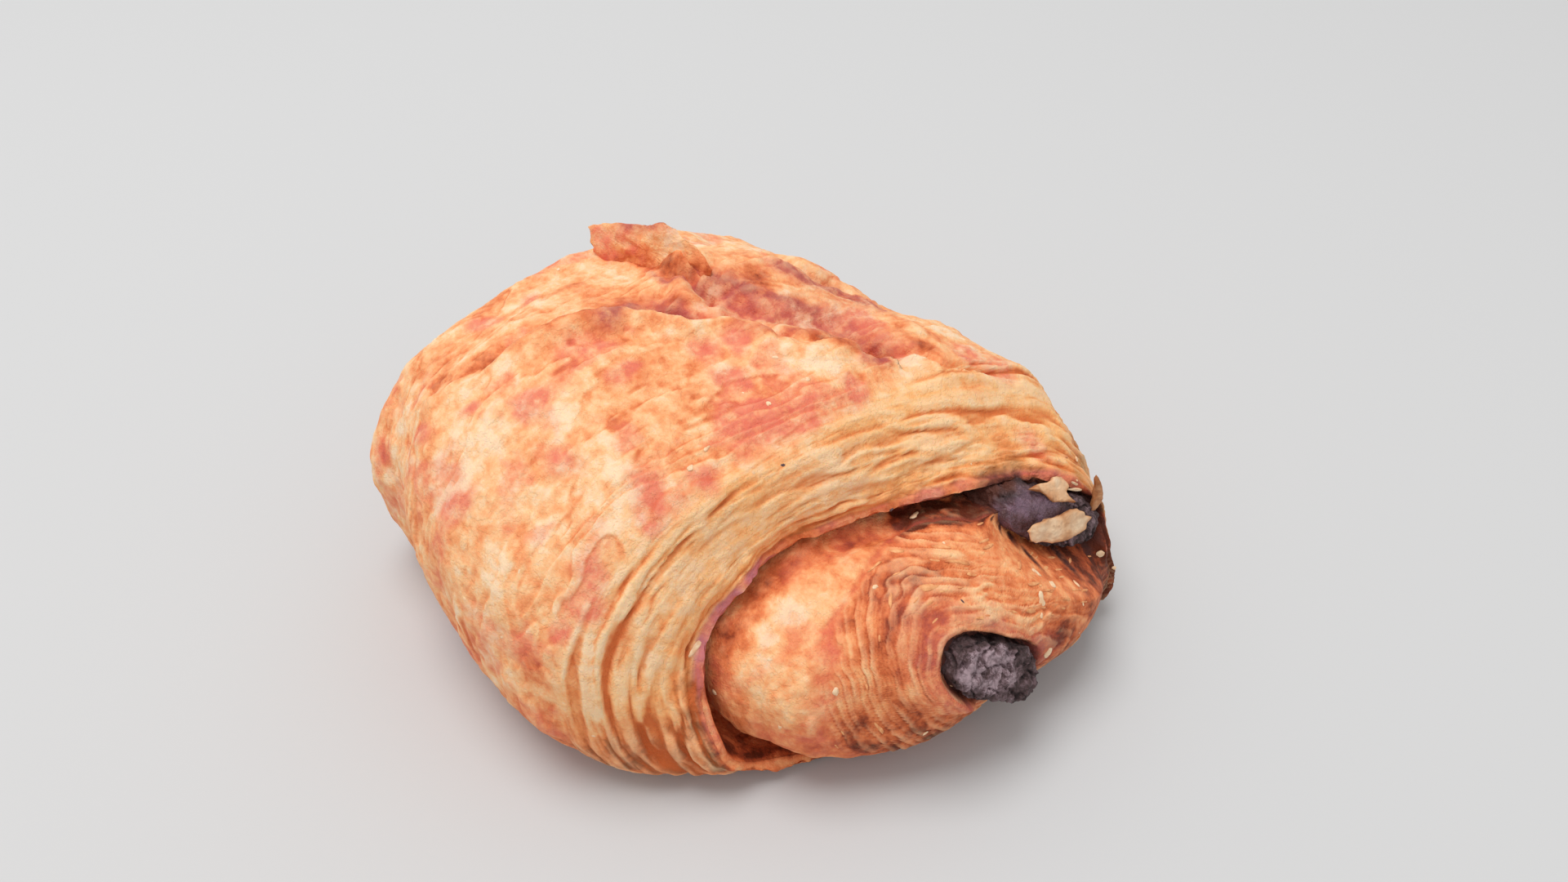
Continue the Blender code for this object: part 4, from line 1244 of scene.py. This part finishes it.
class Painter:
    """One material's node tree, with the few nodes that every material here uses."""

    def __init__(self, name):
        self.material = bpy.data.materials.new(name)
        self.material.use_nodes = True
        self.tree = self.material.node_tree
        self.tree.nodes.clear()
        self.place = self.node("ShaderNodeTexCoord", {}, {}, "Object")

    def node(self, kind, settings, inputs, output=0):
        return node(self.tree, kind, settings, inputs, output)

    def mask(self, name, output="Fac"):
        return self.node("ShaderNodeAttribute", {"attribute_name": name}, {}, output)

    def noise(self, size, detail=3, places=None, unit=MM, roughness=0.55):
        """Noise from 0 to 1 around 0.5, with its largest blobs of this size in mm."""
        inputs = {"Vector": places or self.place, "Scale": 1 / (size * unit)}
        inputs |= {"Detail": detail, "Roughness": roughness}
        return self.node("ShaderNodeTexNoise", {}, inputs)

    def steep(self, value, slope):
        """A value around 0.5, with its contrast raised."""
        return (slope * (value - 0.5) + 0.5).clamped()

    def crease(self, value, sharpness):
        """1 along the lines where a value passes 0.5."""
        away = value - 0.5
        return (1 - sharpness * away * away).clamped()

    def ramp(self, value, *stops):
        return self.node("ShaderNodeValToRGB", {"stops": stops}, {0: value})

    def mix(self, share, first, second):
        return self.node("ShaderNodeMix", {"data_type": "RGBA"}, {0: share, 6: first, 7: second}, 2)

    def bump(self, height, depth, strength=1.0):
        """A bump from a height of 0 to 1 that stands for this depth in mm."""
        inputs = {"Height": height, "Distance": depth * MM, "Strength": strength}
        return self.node("ShaderNodeBump", {}, inputs)

    def finish(self, **inputs):
        values = {key.replace("_", " "): value for key, value in inputs.items()}
        shader = self.node("ShaderNodeBsdfPrincipled", {}, values)
        made = self.tree.nodes.new("ShaderNodeOutputMaterial")
        self.tree.links.new(shader.output, made.inputs["Surface"])
        return self.material


def dough_material():
    """Baked dough, from cream over orange to brown, with its blushes and plum edges, painted shade in its
    crevices and painted highlight on its ridges.
    """
    paint = Painter("baked dough")
    layer = paint.mask("layer", "Vector")
    mottle = paint.noise(3.2, 5, roughness=0.6)
    speckle = paint.noise(0.9, 4)
    grain = paint.noise(0.28, 3)
    streak = paint.noise(0.8, 4, places=layer, unit=1)
    patch = paint.steep(paint.noise(2.2, 4, roughness=0.6), 4.0)
    hollow, crest = paint.mask("hollow"), paint.mask("crest")

    wrinkle = paint.crease(paint.noise(2.6, 4, roughness=0.6), 500)

    bake = paint.mask("bake") + 0.5 * (mottle - 0.5) + 0.2 * (speckle - 0.5) + 0.16 * (streak - 0.5)
    # Painted shade browns the hollows and painted highlight pales the crests.
    bake = bake + 0.22 * (patch - 0.5) + 0.3 * hollow - 0.1 * crest + 0.03 * wrinkle
    colour = paint.ramp(
        bake,
        (0.05, 254, 218, 180),
        (0.22, 254, 197, 144),
        (0.38, 250, 170, 114),
        (0.54, 235, 136, 84),
        (0.7, 206, 104, 59),
        (0.85, 158, 71, 40),
        (1.0, 98, 42, 24),
    )
    colour = paint.mix(paint.mask("butter") * 0.6, colour, display(255, 182, 104))
    blush = (paint.mask("blush") * (0.15 + 0.7 * patch + 0.6 * mottle)).clamped()
    colour = paint.mix(blush * 0.74, colour, display(232, 114, 98))
    plum = paint.mask("plum") * (0.4 + 0.6 * patch + 0.6 * mottle)
    colour = paint.mix(plum.clamped() * 0.75, colour, display(204, 98, 84))
    # The deepest plum turns purple; in the valley's furrows and the pocket this is painted shade.
    colour = paint.mix((1.5 * (plum - 0.6)).clamped() * 0.5, colour, display(150, 72, 80))
    colour = paint.mix((paint.mask("lilac") * (0.6 + 0.5 * speckle)).clamped(), colour, display(204, 124, 134))
    # Painted shade: the hollows darkened to deep orange.
    colour = paint.mix((hollow * hollow * 0.8).clamped(), colour, display(210, 102, 48))
    # Painted highlight: the ridges lightened to cream.
    colour = paint.mix((crest * (0.2 + 0.6 * streak)).clamped(), colour, display(255, 218, 170))
    # Smeared chocolate and painted shade, dark brown.
    smear = (paint.mask("smear") * (0.4 + 1.2 * speckle)).clamped()
    colour = paint.mix(smear, colour, display(84, 46, 40))

    height = 0.5 * speckle + 0.3 * grain + 0.35 * streak + 0.5 * mottle - 0.15 * wrinkle
    return paint.finish(
        Base_Color=colour,
        Roughness=0.46 + 0.3 * speckle,
        IOR=1.45,
        Specular_IOR_Level=0.2,
        Subsurface_Weight=0.15,
        Subsurface_Radius=(1.0, 0.4, 0.15),
        Subsurface_Scale=1.2 * MM,
        Normal=paint.bump(height, 0.4, 0.8),
    )


def chocolate_material():
    """Dark chocolate, dull and crumbly, with a mauve bloom partly painted as highlight, glossier and painted
    with a sheen where it has melted, and painted shade in its pits and round its faces' rims.
    """
    paint = Painter("dark chocolate")
    crumb = paint.noise(1.1, 5, roughness=0.65)
    grain = paint.noise(0.3, 4)
    bloom, melted, pit = paint.mask("bloom"), paint.mask("melted"), paint.mask("pit")
    crack = paint.crease(paint.noise(1.7, 5, roughness=0.65), 400)
    scratch = paint.crease(paint.noise(1.5, 3), 900)
    smudge = paint.steep(paint.noise(2.8, 4), 5.0)
    broad = paint.steep(paint.noise(2.4, 5, roughness=0.6), 3.0)
    share = 0.6 + 0.35 * (broad - 0.5) + 0.9 * (crumb - 0.5)
    # The bloom, partly painted highlight, lightens the face.
    share = share + 0.5 * bloom * (0.4 + broad) + 0.25 * (grain - 0.5)
    # Painted shade darkens the pits, the cracks and the faces' rims.
    share = share - 0.4 * pit - 0.18 * crack - 0.22 * paint.mask("edge") + 0.4 * bloom * scratch
    colour = paint.ramp(
        share.clamped(),
        (0.0, 44, 27, 27),
        (0.35, 80, 57, 57),
        (0.7, 128, 103, 108),
        (1.0, 172, 148, 154),
    )
    # Painted sheen: the melted chocolate lightened to bluish purple.
    melted_sheen = (melted * (0.35 + 0.8 * crumb)).clamped()
    colour = paint.mix(melted_sheen, colour, paint.mix(smudge, display(92, 60, 62), display(134, 104, 122)))
    colour = paint.mix(paint.mask("shaded"), colour, display(92, 46, 32))
    return paint.finish(
        Base_Color=colour,
        Roughness=0.62 - 0.36 * melted + 0.2 * (grain - 0.5),
        IOR=1.45,
        Specular_IOR_Level=0.5,
        Normal=paint.bump(0.6 * crumb + 0.4 * grain - 0.3 * crack, 0.4, 0.8),
    )


def flake_material():
    """Thin dry flakes of crust, tan to cream."""
    paint = Painter("dry flakes")
    mottle = paint.noise(1.6, 4)
    grain = paint.noise(0.35, 4)
    share = paint.mask("toast") + 0.7 * (mottle - 0.5)
    colour = paint.ramp(
        share,
        (0.0, 238, 206, 170),
        (0.5, 224, 174, 130),
        (1.0, 172, 108, 64),
    )
    return paint.finish(
        Base_Color=colour,
        Roughness=0.6 + 0.2 * grain,
        Specular_IOR_Level=0.3,
        Normal=paint.bump(0.5 * mottle + 0.5 * grain, 0.2, 0.8),
    )


def crumb_material(name, light, dark):
    paint = Painter(name)
    mottle = paint.noise(0.9, 4)
    colour = paint.ramp(mottle, (0.35, *light), (0.65, *dark))
    return paint.finish(Base_Color=colour, Roughness=0.5 + 0.3 * mottle, Normal=paint.bump(mottle, 0.1, 0.7))


FLOOR_GREY = 0.63


def floor_material():
    paint = Painter("pale floor")
    paint.tree.nodes.remove(paint.place.output.node)
    return paint.finish(Base_Color=(*3 * (FLOOR_GREY,), 1), Roughness=0.9, Specular_IOR_Level=0.1)


# ------------------------------------------------------------------------------------------- studio


FLOOR_SIZE = 4000.0
SKY_STRENGTH = 0.64
SOFTBOX_WAY = (-0.2, 0.75, 0.6)  # how far right, up and back it stands as the camera sees it
SOFTBOX_DISTANCE, SOFTBOX_SIZE, SOFTBOX_ENERGY = 1.2, 0.8, 8.0  # in metres and watts
NEAREST_SEEN = 0.001


def make_floor():
    half = FLOOR_SIZE / 2
    corners = np.array([(-half, -half, 0), (half, -half, 0), (half, half, 0), (-half, half, 0)])
    floor = mesh_object("floor", corners + ORIGIN, (np.arange(4), np.array([4])))
    floor.data.materials.append(floor_material())


def make_lights():
    world = bpy.data.worlds.new("studio")
    bpy.context.scene.world = world
    world.use_nodes = True
    background = world.node_tree.nodes["Background"]
    background.inputs["Color"].default_value = (1, 1, 1, 1)
    background.inputs["Strength"].default_value = SKY_STRENGTH

    way = SOFTBOX_WAY[0] * RIGHT + SOFTBOX_WAY[1] * UP + SOFTBOX_WAY[2] * BACK
    light = bpy.data.lights.new("softbox", "AREA")
    light.shape = "DISK"
    light.size = SOFTBOX_SIZE
    light.energy = SOFTBOX_ENERGY
    add_object("softbox", light, SOFTBOX_DISTANCE * unit_of(way), way)


def make_camera():
    data = bpy.data.cameras.new("camera")
    data.sensor_fit = "HORIZONTAL"
    data.angle = 2 * math.atan(FRAME_WIDTH / 2 / FOCAL)
    data.clip_start = NEAREST_SEEN
    bpy.context.scene.camera = add_object("camera", data, to_frame(EYE), BACK)


baked = dough_material()
dough, relief = make_dough(baked)
make_torn_sheet(dough, baked)
chocolate = chocolate_material()
make_batons(chocolate)
make_flakes(flake_material())
pale = crumb_material("pale crumbs", (250, 222, 184), (236, 186, 140))
tan = crumb_material("tan slivers", (246, 182, 122), (216, 130, 78))
make_crumbs(dough, relief, pale, tan, chocolate)
make_floor()
make_lights()
make_camera()
